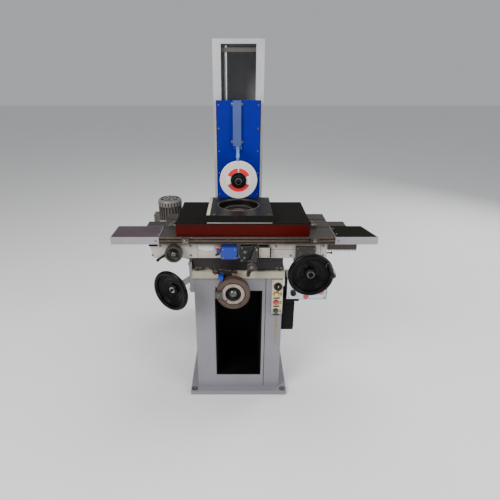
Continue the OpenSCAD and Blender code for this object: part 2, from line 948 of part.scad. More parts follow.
module throttle_knob() {
    color("#25241c")
    difference() {
        union() {
            bar_y(throttle_x, throttle_z, [bed_y0 - 52, bed_y0 - 22], throttle_d / 2);
            bar_y(throttle_x, throttle_z, [bed_y0 - 23, bed_y0 - 16], 22);
            bar_y(throttle_x, throttle_z, [bed_y0 - 17, channel[0] + 6], 6);
        }
        difference() {
            bar_y(throttle_x, throttle_z, [bed_y0 - 53, bed_y0 - 30], throttle_d / 2 - 9);
            bar_y(throttle_x, throttle_z, [bed_y0 - 54, bed_y0 - 29], 12);
        }
    }
}

module start_lever() {
    y = [bed_y0 - 13, bed_y0 - 4];
    color("#161514")
    difference() {
        union() {
            bar_y(throttle_x, throttle_z, [bed_y0 - 15, bed_y0 - 1], 17);
            slab_y(y)
                polygon([[throttle_x, throttle_z + 6], [throttle_x - 48, throttle_z - 14], [throttle_x - 86, throttle_z - 42],
                    [throttle_x - 80, throttle_z - 50], [throttle_x - 44, throttle_z - 24], [throttle_x, throttle_z - 6]]);
            translate([throttle_x - 84, (y[0] + y[1]) / 2, throttle_z - 48])
                sphere(8);
        }
        bar_y(throttle_x, throttle_z, [bed_y0 - 16, bed_y0], 6 + 0.1);
    }
}

// Arm that swings on the cross screw's boss, with a clamp knob and a ball
module fine_feed_lever() {
    y = [-522, -508];
    knob = [cross_x - 58, cross_z + 78];
    ball = [cross_x - 85, cross_z + 97];
    color("#1d1b1a")
    difference() {
        union() {
            bar_y(cross_x, cross_z, y, 46);
            slab_y([y[0], y[0] + 9])
                polygon([[cross_x - 30, cross_z + 20], [ball[0] - 5, ball[1]], [ball[0] + 5, ball[1] + 8],
                    [cross_x - 20, cross_z + 99], [cross_x + 18, cross_z + 92], [cross_x + 18, cross_z + 82],
                    [cross_x - 10, cross_z + 84], [cross_x + 10, cross_z + 30]]);
            bar_y(knob[0], knob[1], [-570, y[0] + 1], 11.5);
            translate([ball[0], y[0] - 8, ball[1]])
                sphere(15);
        }
        bar_y(cross_x, cross_z, [y[0] - cut, y[1] + cut], boss_r + run_gap);
    }
}

module selector_switch() {
    color("#141414")
    union() {
        bar_y(197, 659, [panel_y - 10, panel_y - 0.5], 19);
        block([193, 201], [panel_y - 20, panel_y - 9], [643, 675]);
        bar_y(197, 659, [panel_y - 1, -base_y - 2], 7.9);
    }
}

// A sprung push button with its stem in the panel
module push_button(z) {
    bar_y(button_x, z, [panel_y - 12, panel_y - 5], 11);
    bar_y(button_x, z, [panel_y - 6, -base_y - 5], 8);
}

module button_yellow() {
    color("#d8b23a") push_button(617);
}

module button_red() {
    color("#c01f26") push_button(570);
}

module button_green() {
    color("#1f3a22") push_button(521);
}

module box_knob() {
    color("#0c0f0e")
    union() {
        bar_y(274, 623, [box_y0 - 22, box_y0 - 4], 14);
        bar_y(274, 623, [box_y0 - 5, box_y0 + 8], 4);
    }
}

// ---- every node, drawn only here -------------------------------------------

base_casting();
bed_top();
cabinet_liner();
button_panel();
column();
column_rear_cover();
screw_bearings();
elevating_bracket();
cross_screw_housing();
switch_box();
switch_box_face();
junction_box();
pump_shelf();
pump_motor();
pump_motor_cover();
saddle_carriage();
saddle_bed();
pinion_housing();
valve_body();
solenoid_valve();
limit_switch();
cross_nut();
table();
table_rack();
left_tray();
right_tray();
trip_dogs();
chuck_body();
chuck_plate();
chuck_clamps();
work_block();
head_carriage();
head_apron();
spindle_housing();
spindle_bearings();
spindle_motor();
elevating_nut();
oil_guard();
oil_line();
spindle();
wheel_flanges();
grinding_wheel();
table_handwheel();
table_wheel_shaft();
crank_grip();
cross_dial();
cross_screw();
elevating_handwheel();
elevating_shaft();
elevating_screw();
reverse_lever();
throttle_knob();
start_lever();
fine_feed_lever();
selector_switch();
button_yellow();
button_red();
button_green();
box_knob();
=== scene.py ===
"""Surface grinder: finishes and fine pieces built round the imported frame.

Every size below is in metres, in the frame's own axes: X right, Y to the rear, Z up.
"""

import json
import math

import bmesh
import bpy
from bpy.props import FloatProperty, FloatVectorProperty, IntProperty, PointerProperty
from mathutils import Matrix, Vector


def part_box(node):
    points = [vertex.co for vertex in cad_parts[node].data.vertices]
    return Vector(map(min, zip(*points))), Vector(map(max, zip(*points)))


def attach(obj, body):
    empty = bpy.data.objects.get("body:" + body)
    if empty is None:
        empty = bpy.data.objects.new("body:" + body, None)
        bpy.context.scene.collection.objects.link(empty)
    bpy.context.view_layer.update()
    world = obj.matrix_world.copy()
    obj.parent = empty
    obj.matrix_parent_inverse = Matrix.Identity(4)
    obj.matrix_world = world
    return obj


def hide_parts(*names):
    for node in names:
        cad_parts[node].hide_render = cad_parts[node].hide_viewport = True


bl_info = {
    "name": "Surface Grinder Finishes",
    "version": (1, 0, 0),
    "blender": (4, 5, 0),
    "location": "3D View > Sidebar > Grinder",
    "description": "Dresses a packed surface grinder with its small pieces and its finishes",
    "category": "Object",
}

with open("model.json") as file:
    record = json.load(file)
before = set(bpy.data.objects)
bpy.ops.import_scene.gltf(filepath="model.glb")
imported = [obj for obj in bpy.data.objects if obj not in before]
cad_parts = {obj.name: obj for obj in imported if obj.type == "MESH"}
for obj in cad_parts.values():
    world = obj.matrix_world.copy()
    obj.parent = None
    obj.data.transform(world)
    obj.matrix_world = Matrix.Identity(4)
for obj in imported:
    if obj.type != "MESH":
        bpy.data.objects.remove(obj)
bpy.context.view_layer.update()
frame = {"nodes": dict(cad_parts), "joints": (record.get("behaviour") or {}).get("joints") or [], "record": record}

MM = 0.001
FRONT = Vector((0.0, -1.0, 0.0))
UP = Vector((0.0, 0.0, 1.0))
RIGHT = Vector((1.0, 0.0, 0.0))


def joint_place(name):
    """The point and the axis of one joint of the frame."""
    for joint in frame["joints"]:
        if joint["name"] == name:
            return Vector(joint["pos_m"]), Vector(joint["axis"])
    raise KeyError(name)


# ---------------------------------------------------------------------------
# What a user would change
# ---------------------------------------------------------------------------


def colour_property(name, description, default):
    """One paint or plastic colour."""
    return FloatVectorProperty(
        name=name,
        description=description,
        subtype="COLOR_GAMMA",
        size=3,
        min=0.0,
        max=1.0,
        default=default,
    )


def length_property(name, description, default):
    """One length, in metres."""
    return FloatProperty(name=name, description=description, default=default, min=0.0, unit="LENGTH")


class GrinderColours(bpy.types.PropertyGroup):
    """The machine's paints and plastics."""

    base: colour_property("Base", "Grey paint of the base casting", (0.51, 0.50, 0.53))
    cream: colour_property("Cream", "Cream paint of the bed top and button panel", (0.71, 0.685, 0.60))
    saddle: colour_property("Saddle", "Pale grey paint of the saddle", (0.74, 0.715, 0.69))
    column: colour_property("Column", "Pale grey paint of the column", (0.74, 0.74, 0.75))
    apron: colour_property("Apron", "Blue paint of the wheelhead's apron", (0.02, 0.085, 0.56))
    valve: colour_property("Valve", "Blue plastic of the solenoid valve", (0.03, 0.17, 0.56))
    chuck: colour_property("Chuck", "Dark red paint of the magnetic chuck", (0.27, 0.012, 0.004))
    tray: colour_property("Trays", "Grey paint of the table's two trays", (0.60, 0.575, 0.605))
    switch_face: colour_property("Switch face", "White face of the switch box", (0.80, 0.82, 0.86))
    label_red: colour_property("Label red", "Red printing on the wheel's label", (0.86, 0.13, 0.15))


class GrinderSizes(bpy.types.PropertyGroup):
    """Sizes of the small pieces."""

    edge_radius: length_property("Edge radius", "How far cast edges look rounded", 1.6 * MM)
    label_radius: length_property("Label radius", "Radius of the grinding wheel's paper label", 63 * MM)
    ridge: length_property("Ridge height", "Height of the ridges in the handwheels' dishes", 1.6 * MM)
    bolt_head: length_property("Bolt head", "Radius of the usual bolt head", 5.5 * MM)
    dial_marks: IntProperty(name="Dial marks", description="Marks round the cross feed dial", default=100,
                            min=10)


def sizes():
    """The sizes in use."""
    return bpy.context.scene.grinder_sizes


def paint(name):
    """One of the colours in use, as the renderer needs it."""
    return linear(getattr(bpy.context.scene.grinder_colours, name))


def linear(colour):
    """A screen colour as linear light."""
    return tuple(v / 12.92 if v <= 0.04045 else ((v + 0.055) / 1.055) ** 2.4 for v in colour)


# ---------------------------------------------------------------------------
# Shared shader groups
# ---------------------------------------------------------------------------


def new_group(name, inputs, outputs):
    """An empty shader node group with named sockets, and its two end nodes."""
    group = bpy.data.node_groups.new(name, "ShaderNodeTree")
    for label, kind, default in inputs:
        socket = group.interface.new_socket(name=label, in_out="INPUT", socket_type=kind)
        if default is not None:
            socket.default_value = default
    for label, kind in outputs:
        group.interface.new_socket(name=label, in_out="OUTPUT", socket_type=kind)
    start = group.nodes.new("NodeGroupInput")
    end = group.nodes.new("NodeGroupOutput")
    return group, start, end


def maths(tree, operation, first, second=None):
    """A Math node. Numbers are set on it and sockets are linked to it."""
    node = tree.nodes.new("ShaderNodeMath")
    node.operation = operation
    for index, value in enumerate((first, second)):
        if value is None:
            continue
        if isinstance(value, (int, float)):
            node.inputs[index].default_value = value
        else:
            tree.links.new(value, node.inputs[index])
    return node.outputs["Value"]


def window(tree, value, low, high):
    """Maps low..high to 0..1, held at both ends. Low and high are numbers or sockets."""
    node = tree.nodes.new("ShaderNodeMapRange")
    node.interpolation_type = "SMOOTHSTEP"
    tree.links.new(value, node.inputs["Value"])
    for label, limit in (("From Min", low), ("From Max", high)):
        if isinstance(limit, (int, float)):
            node.inputs[label].default_value = limit
        else:
            tree.links.new(limit, node.inputs[label])
    return node.outputs["Result"]


def noise(tree, position, scale, detail, roughness=0.6):
    """A cloudy 3-D noise between 0 and 1."""
    node = tree.nodes.new("ShaderNodeTexNoise")
    tree.links.new(position, node.inputs["Vector"])
    if isinstance(scale, (int, float)):
        node.inputs["Scale"].default_value = scale
    else:
        tree.links.new(scale, node.inputs["Scale"])
    node.inputs["Detail"].default_value = detail
    node.inputs["Roughness"].default_value = roughness
    return node.outputs["Fac"]


def edge_wear_group():
    """Mask of bare metal along edges, broken up by noise. Its normal rounds the edges."""
    inputs = [
        ("Position", "NodeSocketVector", None),
        ("Radius", "NodeSocketFloat", 0.0016),
        ("Amount", "NodeSocketFloat", 0.5),
        ("Scale", "NodeSocketFloat", 60.0),
    ]
    outputs = [("Mask", "NodeSocketFloat"), ("Normal", "NodeSocketVector")]
    group, start, end = new_group("Edge wear", inputs, outputs)
    rounded = group.nodes.new("ShaderNodeBevel")
    rounded.samples = 4
    group.links.new(start.outputs["Radius"], rounded.inputs["Radius"])
    flat = group.nodes.new("ShaderNodeNewGeometry")
    agree = group.nodes.new("ShaderNodeVectorMath")
    agree.operation = "DOT_PRODUCT"
    group.links.new(rounded.outputs["Normal"], agree.inputs[0])
    group.links.new(flat.outputs["Normal"], agree.inputs[1])
    bend = maths(group, "SUBTRACT", 1.0, agree.outputs["Value"])
    edge = window(group, bend, 0.01, 0.22)
    chips = noise(group, start.outputs["Position"], start.outputs["Scale"], 4.0, 0.7)
    limit = maths(group, "SUBTRACT", 0.95, maths(group, "MULTIPLY", start.outputs["Amount"], 0.75))
    chipped = window(group, chips, maths(group, "SUBTRACT", limit, 0.12), limit)
    group.links.new(maths(group, "MULTIPLY", edge, chipped), end.inputs["Mask"])
    group.links.new(rounded.outputs["Normal"], end.inputs["Normal"])
    return group


def grime_group():
    """Mask of dust, oil and stains that gathers in patches and runs downwards."""
    inputs = [
        ("Position", "NodeSocketVector", None),
        ("Scale", "NodeSocketFloat", 8.0),
        ("Amount", "NodeSocketFloat", 0.3),
        ("Runs", "NodeSocketFloat", 0.3),
    ]
    group, start, end = new_group("Grime", inputs, [("Mask", "NodeSocketFloat")])
    patches = noise(group, start.outputs["Position"], start.outputs["Scale"], 6.0, 0.65)
    drawn = group.nodes.new("ShaderNodeMapping")
    drawn.inputs["Scale"].default_value = (9.0, 9.0, 0.6)
    group.links.new(start.outputs["Position"], drawn.inputs["Vector"])
    streaks = noise(group, drawn.outputs["Vector"], start.outputs["Scale"], 3.0)
    limit = maths(group, "SUBTRACT", 0.78, maths(group, "MULTIPLY", start.outputs["Amount"], 0.4))
    patch_mask = window(group, patches, limit, maths(group, "ADD", limit, 0.25))
    run_mask = maths(group, "MULTIPLY", window(group, streaks, 0.52, 0.8), start.outputs["Runs"])
    group.links.new(maths(group, "MAXIMUM", patch_mask, run_mask), end.inputs["Mask"])
    return group


def grain_group():
    """Fine height for cast, painted or abrasive skins, with scattered specks."""
    inputs = [("Position", "NodeSocketVector", None), ("Scale", "NodeSocketFloat", 500.0)]
    outputs = [("Height", "NodeSocketFloat"), ("Specks", "NodeSocketFloat")]
    group, start, end = new_group("Fine grain", inputs, outputs)
    skin = noise(group, start.outputs["Position"], start.outputs["Scale"], 3.0)
    coarse = maths(group, "MULTIPLY", start.outputs["Scale"], 0.35)
    specks = noise(group, start.outputs["Position"], coarse, 1.0, 0.4)
    group.links.new(skin, end.inputs["Height"])
    group.links.new(window(group, specks, 0.66, 0.74), end.inputs["Specks"])
    return group


def tooling_group():
    """Fine parallel lines, as left by grinding or milling along one axis."""
    inputs = [
        ("Position", "NodeSocketVector", None),
        ("Stretch", "NodeSocketVector", (6.0, 900.0, 900.0)),
    ]
    group, start, end = new_group("Tool marks", inputs, [("Height", "NodeSocketFloat")])
    drawn = group.nodes.new("ShaderNodeVectorMath")
    drawn.operation = "MULTIPLY"
    group.links.new(start.outputs["Position"], drawn.inputs[0])
    group.links.new(start.outputs["Stretch"], drawn.inputs[1])
    group.links.new(noise(group, drawn.outputs["Vector"], 1.0, 3.0), end.inputs["Height"])
    return group


def turned_group():
    """Rings round an axis through a centre, as left by a lathe."""
    inputs = [
        ("Position", "NodeSocketVector", None),
        ("Centre", "NodeSocketVector", (0.0, 0.0, 0.0)),
        ("Axis", "NodeSocketVector", (0.0, 1.0, 0.0)),
        ("Pitch", "NodeSocketFloat", 900.0),
    ]
    outputs = [("Height", "NodeSocketFloat"), ("Radius", "NodeSocketFloat")]
    group, start, end = new_group("Turned rings", inputs, outputs)
    arm = group.nodes.new("ShaderNodeVectorMath")
    arm.operation = "SUBTRACT"
    group.links.new(start.outputs["Position"], arm.inputs[0])
    group.links.new(start.outputs["Centre"], arm.inputs[1])
    across = group.nodes.new("ShaderNodeVectorMath")
    across.operation = "CROSS_PRODUCT"
    group.links.new(arm.outputs["Vector"], across.inputs[0])
    group.links.new(start.outputs["Axis"], across.inputs[1])
    reach = group.nodes.new("ShaderNodeVectorMath")
    reach.operation = "LENGTH"
    group.links.new(across.outputs["Vector"], reach.inputs[0])
    radius = reach.outputs["Value"]
    line = group.nodes.new("ShaderNodeTexNoise")
    line.noise_dimensions = "1D"
    group.links.new(maths(group, "MULTIPLY", radius, start.outputs["Pitch"]), line.inputs["W"])
    line.inputs["Scale"].default_value = 1.0
    group.links.new(line.outputs["Fac"], end.inputs["Height"])
    group.links.new(radius, end.inputs["Radius"])
    return group


GROUPS = {
    "edge": edge_wear_group,
    "grime": grime_group,
    "grain": grain_group,
    "tooling": tooling_group,
    "turned": turned_group,
}
built_groups = {}


def group_node(tree, key, position, **values):
    """Places a shared group in a material and sets its inputs by name."""
    if key not in built_groups:
        built_groups[key] = GROUPS[key]()
    node = tree.nodes.new("ShaderNodeGroup")
    node.node_tree = built_groups[key]
    tree.links.new(position, node.inputs["Position"])
    for label, value in values.items():
        node.inputs[label].default_value = value
    return node


def tint(tree, mask, below, above):
    """Mixes a colour over another by a mask. Colours are tuples or sockets."""
    node = tree.nodes.new("ShaderNodeMix")
    node.data_type = "RGBA"
    tree.links.new(mask, node.inputs["Factor"])
    for index, colour in ((6, below), (7, above)):
        if isinstance(colour, tuple):
            node.inputs[index].default_value = (*colour, 1.0)
        else:
            tree.links.new(colour, node.inputs[index])
    return node.outputs[2]


def span(tree, mask, low, high):
    """A number that goes from low to high with a mask."""
    node = tree.nodes.new("ShaderNodeMapRange")
    tree.links.new(mask, node.inputs["Value"])
    node.inputs["To Min"].default_value = low
    node.inputs["To Max"].default_value = high
    return node.outputs["Result"]


# ---------------------------------------------------------------------------
# Materials
# ---------------------------------------------------------------------------


def start_material(name):
    """An empty material: its tree, its shader and the place on the piece."""
    material = bpy.data.materials.new(name)
    material.use_nodes = True
    tree = material.node_tree
    tree.nodes.clear()
    output = tree.nodes.new("ShaderNodeOutputMaterial")
    shader = tree.nodes.new("ShaderNodeBsdfPrincipled")
    tree.links.new(shader.outputs["BSDF"], output.inputs["Surface"])
    place = tree.nodes.new("ShaderNodeTexCoord").outputs["Object"]
    return material, tree, shader, place


def add_relief(tree, shader, height, depth, normal=None):
    """Feeds a height to the shader as fine relief, over a rounded normal if one is given."""
    bump = tree.nodes.new("ShaderNodeBump")
    bump.inputs["Distance"].default_value = depth
    bump.inputs["Strength"].default_value = 0.8
    tree.links.new(height, bump.inputs["Height"])
    if normal is not None:
        tree.links.new(normal, bump.inputs["Normal"])
    tree.links.new(bump.outputs["Normal"], shader.inputs["Normal"])


def painted(name, colour, shade=0.82, rough=0.42, wear=0.35, dirt=0.35, runs=0.25, under=(0.20, 0.19, 0.18),
            soil=(0.16, 0.12, 0.07), skin=420.0, depth=0.00012, coat=0.1, gloss=0.4):
    """Workshop paint on cast iron or sheet: chipped edges, soiled patches, a faint orange peel."""
    material, tree, shader, place = start_material(name)
    edge = group_node(tree, "edge", place, Radius=sizes().edge_radius, Amount=wear)
    grime = group_node(tree, "grime", place, Amount=dirt, Runs=runs)
    grain = group_node(tree, "grain", place, Scale=skin)
    faded = tuple(v * shade for v in colour)
    cloud = window(tree, noise(tree, place, 5.0, 4.0), 0.3, 0.75)
    tone = tint(tree, cloud, colour, faded)
    tone = tint(tree, maths(tree, "MULTIPLY", grain.outputs["Specks"], 0.25), tone, soil)
    tone = tint(tree, maths(tree, "MULTIPLY", grime.outputs["Mask"], 0.42), tone, soil)
    tone = tint(tree, edge.outputs["Mask"], tone, under)
    tree.links.new(tone, shader.inputs["Base Color"])
    tree.links.new(span(tree, grime.outputs["Mask"], rough, min(rough + 0.3, 0.95)),
                   shader.inputs["Roughness"])
    tree.links.new(maths(tree, "MULTIPLY", edge.outputs["Mask"], 0.7), shader.inputs["Metallic"])
    shader.inputs["Coat Weight"].default_value = coat
    shader.inputs["Coat Roughness"].default_value = 0.25
    shader.inputs["Specular IOR Level"].default_value = gloss
    add_relief(tree, shader, grain.outputs["Height"], depth, edge.outputs["Normal"])
    return material


def machined(name, colour, stain=(0.05, 0.04, 0.03), rough=0.32, stretch=(6.0, 900.0, 900.0), dirt=0.4,
             metal=0.9, depth=0.00006, wear=0.5, bright=(0.62, 0.60, 0.57), gloss=0.4):
    """Ground or milled metal: fine tool marks, oily stains and bright worn edges."""
    material, tree, shader, place = start_material(name)
    edge = group_node(tree, "edge", place, Radius=sizes().edge_radius * 0.6, Amount=wear)
    grime = group_node(tree, "grime", place, Scale=14.0, Amount=dirt, Runs=0.1)
    marks = group_node(tree, "tooling", place, Stretch=stretch)
    tone = tint(tree, window(tree, marks.outputs["Height"], 0.3, 0.7), tuple(v * 0.75 for v in colour),
                colour)
    tone = tint(tree, maths(tree, "MULTIPLY", grime.outputs["Mask"], 0.6), tone, stain)
    tone = tint(tree, edge.outputs["Mask"], tone, bright)
    tree.links.new(tone, shader.inputs["Base Color"])
    tree.links.new(span(tree, grime.outputs["Mask"], rough, rough + 0.25), shader.inputs["Roughness"])
    tree.links.new(span(tree, grime.outputs["Mask"], metal, metal * 0.5), shader.inputs["Metallic"])
    shader.inputs["Specular IOR Level"].default_value = gloss
    add_relief(tree, shader, marks.outputs["Height"], depth, edge.outputs["Normal"])
    return material


def turned(name, colour, joint, rough=0.3, metal=0.9, pitch=900.0, depth=0.00008, dirt=0.3,
           bright=(0.6, 0.58, 0.55), wear=0.4):
    """Lathe-turned metal with rings round its joint's axis."""
    centre, axis = joint_place(joint)
    material, tree, shader, place = start_material(name)
    edge = group_node(tree, "edge", place, Radius=sizes().edge_radius * 0.6, Amount=wear)
    grime = group_node(tree, "grime", place, Scale=22.0, Amount=dirt, Runs=0.0)
    rings = group_node(tree, "turned", place, Centre=centre, Axis=axis, Pitch=pitch)
    tone = tint(tree, window(tree, rings.outputs["Height"], 0.3, 0.7), tuple(v * 0.7 for v in colour),
                colour)
    tone = tint(tree, maths(tree, "MULTIPLY", grime.outputs["Mask"], 0.5), tone, (0.03, 0.025, 0.02))
    tone = tint(tree, edge.outputs["Mask"], tone, bright)
    tree.links.new(tone, shader.inputs["Base Color"])
    tree.links.new(span(tree, grime.outputs["Mask"], rough, rough + 0.25), shader.inputs["Roughness"])
    shader.inputs["Metallic"].default_value = metal
    add_relief(tree, shader, rings.outputs["Height"], depth, edge.outputs["Normal"])
    return material


def moulded(name, colour, rough=0.35, dust=0.3, skin=900.0, depth=0.00004, coat=0.0, gloss=0.4):
    """Moulded plastic or rubber: a fine skin, handled patches and a little dust."""
    material, tree, shader, place = start_material(name)
    edge = group_node(tree, "edge", place, Radius=sizes().edge_radius * 0.8, Amount=0.1)
    grime = group_node(tree, "grime", place, Scale=30.0, Amount=dust, Runs=0.0)
    grain = group_node(tree, "grain", place, Scale=skin)
    dusty = tuple(min(v * 0.85 + 0.018, 1.0) for v in colour)
    tone = tint(tree, maths(tree, "MULTIPLY", grime.outputs["Mask"], 0.5), colour, dusty)
    tree.links.new(tone, shader.inputs["Base Color"])
    tree.links.new(span(tree, grime.outputs["Mask"], rough, rough + 0.2), shader.inputs["Roughness"])
    shader.inputs["Coat Weight"].default_value = coat
    shader.inputs["Specular IOR Level"].default_value = gloss
    add_relief(tree, shader, grain.outputs["Height"], depth, edge.outputs["Normal"])
    return material


def base_paint():
    """The base's paint, with an old oil run below the button panel."""
    material = painted("base_paint", paint("base"), shade=0.9, wear=0.4, dirt=0.38, runs=0.35)
    tree = material.node_tree
    shader = next(node for node in tree.nodes if node.type == "BSDF_PRINCIPLED")
    tone = shader.inputs["Base Color"].links[0].from_socket
    place = next(node for node in tree.nodes if node.type == "TEX_COORD").outputs["Object"]
    parts = tree.nodes.new("ShaderNodeSeparateXYZ")
    tree.links.new(place, parts.inputs["Vector"])
    panel_low, panel_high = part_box("button_panel")
    middle = (panel_low.x + panel_high.x) / 2
    offset = maths(tree, "ABSOLUTE", maths(tree, "SUBTRACT", parts.outputs["X"], middle))
    narrow = maths(tree, "SUBTRACT", 1.0, window(tree, offset, 2 * MM, 11 * MM))
    below = maths(tree, "SUBTRACT", 1.0,
                  window(tree, parts.outputs["Z"], panel_low.z - 20 * MM, panel_low.z))
    fading = window(tree, parts.outputs["Z"], panel_low.z - 260 * MM, panel_low.z - 60 * MM)
    front = maths(tree, "LESS_THAN", parts.outputs["Y"], panel_high.y + 2 * MM)
    run = maths(tree, "MULTIPLY", maths(tree, "MULTIPLY", narrow, below),
                maths(tree, "MULTIPLY", fading, front))
    broken = window(tree, noise(tree, place, 30.0, 4.0), 0.3, 0.6)
    run = maths(tree, "MULTIPLY", maths(tree, "MULTIPLY", run, broken), 0.92)
    tree.links.new(tint(tree, run, tone, (0.20, 0.165, 0.03)), shader.inputs["Base Color"])
    return material


def pole_plate():
    """The chuck's working face: dark ground steel with thin brass between its poles."""
    material = machined("chuck_pole", (0.004, 0.004, 0.0038), stain=(0.018, 0.015, 0.007), rough=0.5,
                        metal=0.0, wear=0.5, bright=(0.10, 0.09, 0.08), gloss=0.025)
    tree = material.node_tree
    shader = next(node for node in tree.nodes if node.type == "BSDF_PRINCIPLED")
    tone = shader.inputs["Base Color"].links[0].from_socket
    place = next(node for node in tree.nodes if node.type == "TEX_COORD").outputs["Object"]
    bands = tree.nodes.new("ShaderNodeTexWave")
    bands.bands_direction = "X"
    bands.inputs["Scale"].default_value = 24.0
    tree.links.new(place, bands.inputs["Vector"])
    line = window(tree, bands.outputs["Fac"], 0.965, 0.99)
    tree.links.new(tint(tree, line, tone, (0.030, 0.022, 0.010)), shader.inputs["Base Color"])
    return material


def shaded_top(name, colour, front, **look):
    """Finish whose level faces behind the front edge are painted darker, as painted shade, mottled a little."""
    material = look.pop("builder")(name, colour, **look)
    tree = material.node_tree
    shader = next(node for node in tree.nodes if node.type == "BSDF_PRINCIPLED")
    tone = shader.inputs["Base Color"].links[0].from_socket
    coordinates = next(node for node in tree.nodes if node.type == "TEX_COORD")
    parts = tree.nodes.new("ShaderNodeSeparateXYZ")
    tree.links.new(coordinates.outputs["Object"], parts.inputs["Vector"])
    slope = tree.nodes.new("ShaderNodeSeparateXYZ")
    tree.links.new(coordinates.outputs["Normal"], slope.inputs["Vector"])
    # Painted shade: level faces behind the front edge get a near-black tint and lose their metal, so the tops read
    # darker.
    level = window(tree, slope.outputs["Z"], 0.35, 0.6)
    behind = window(tree, parts.outputs["Y"], front + 1 * MM, front + 4 * MM)
    mottle = span(tree, noise(tree, coordinates.outputs["Object"], 60.0, 5.0), 0.75, 1.0)
    mask = maths(tree, "MULTIPLY", maths(tree, "MULTIPLY", level, behind), mottle)
    tree.links.new(tint(tree, mask, tone, (0.020, 0.017, 0.014)), shader.inputs["Base Color"])
    shine = shader.inputs["Metallic"].links[0].from_socket
    tree.links.new(maths(tree, "MULTIPLY", shine, maths(tree, "SUBTRACT", 1.0, mask)),
                   shader.inputs["Metallic"])
    return material


def abrasive():
    """White bonded abrasive: open grains, loaded dark in places."""
    material, tree, shader, place = start_material("abrasive_white")
    grain = group_node(tree, "grain", place, Scale=900.0)
    grime = group_node(tree, "grime", place, Scale=16.0, Amount=0.35, Runs=0.0)
    tone = tint(tree, window(tree, grain.outputs["Height"], 0.35, 0.65), (0.44, 0.42, 0.40),
                (0.86, 0.84, 0.82))
    tone = tint(tree, maths(tree, "MULTIPLY", grain.outputs["Specks"], 0.6), tone, (0.22, 0.20, 0.19))
    tone = tint(tree, maths(tree, "MULTIPLY", grime.outputs["Mask"], 0.35), tone, (0.30, 0.27, 0.25))
    tree.links.new(tone, shader.inputs["Base Color"])
    shader.inputs["Roughness"].default_value = 0.92
    add_relief(tree, shader, grain.outputs["Height"], 0.0006)
    return material


def printed(name, colour, rough=0.5):
    """Printed paper or a stuck-on mark, a little scuffed."""
    return moulded(name, colour, rough=rough, dust=0.45, skin=1500.0, depth=0.00003)


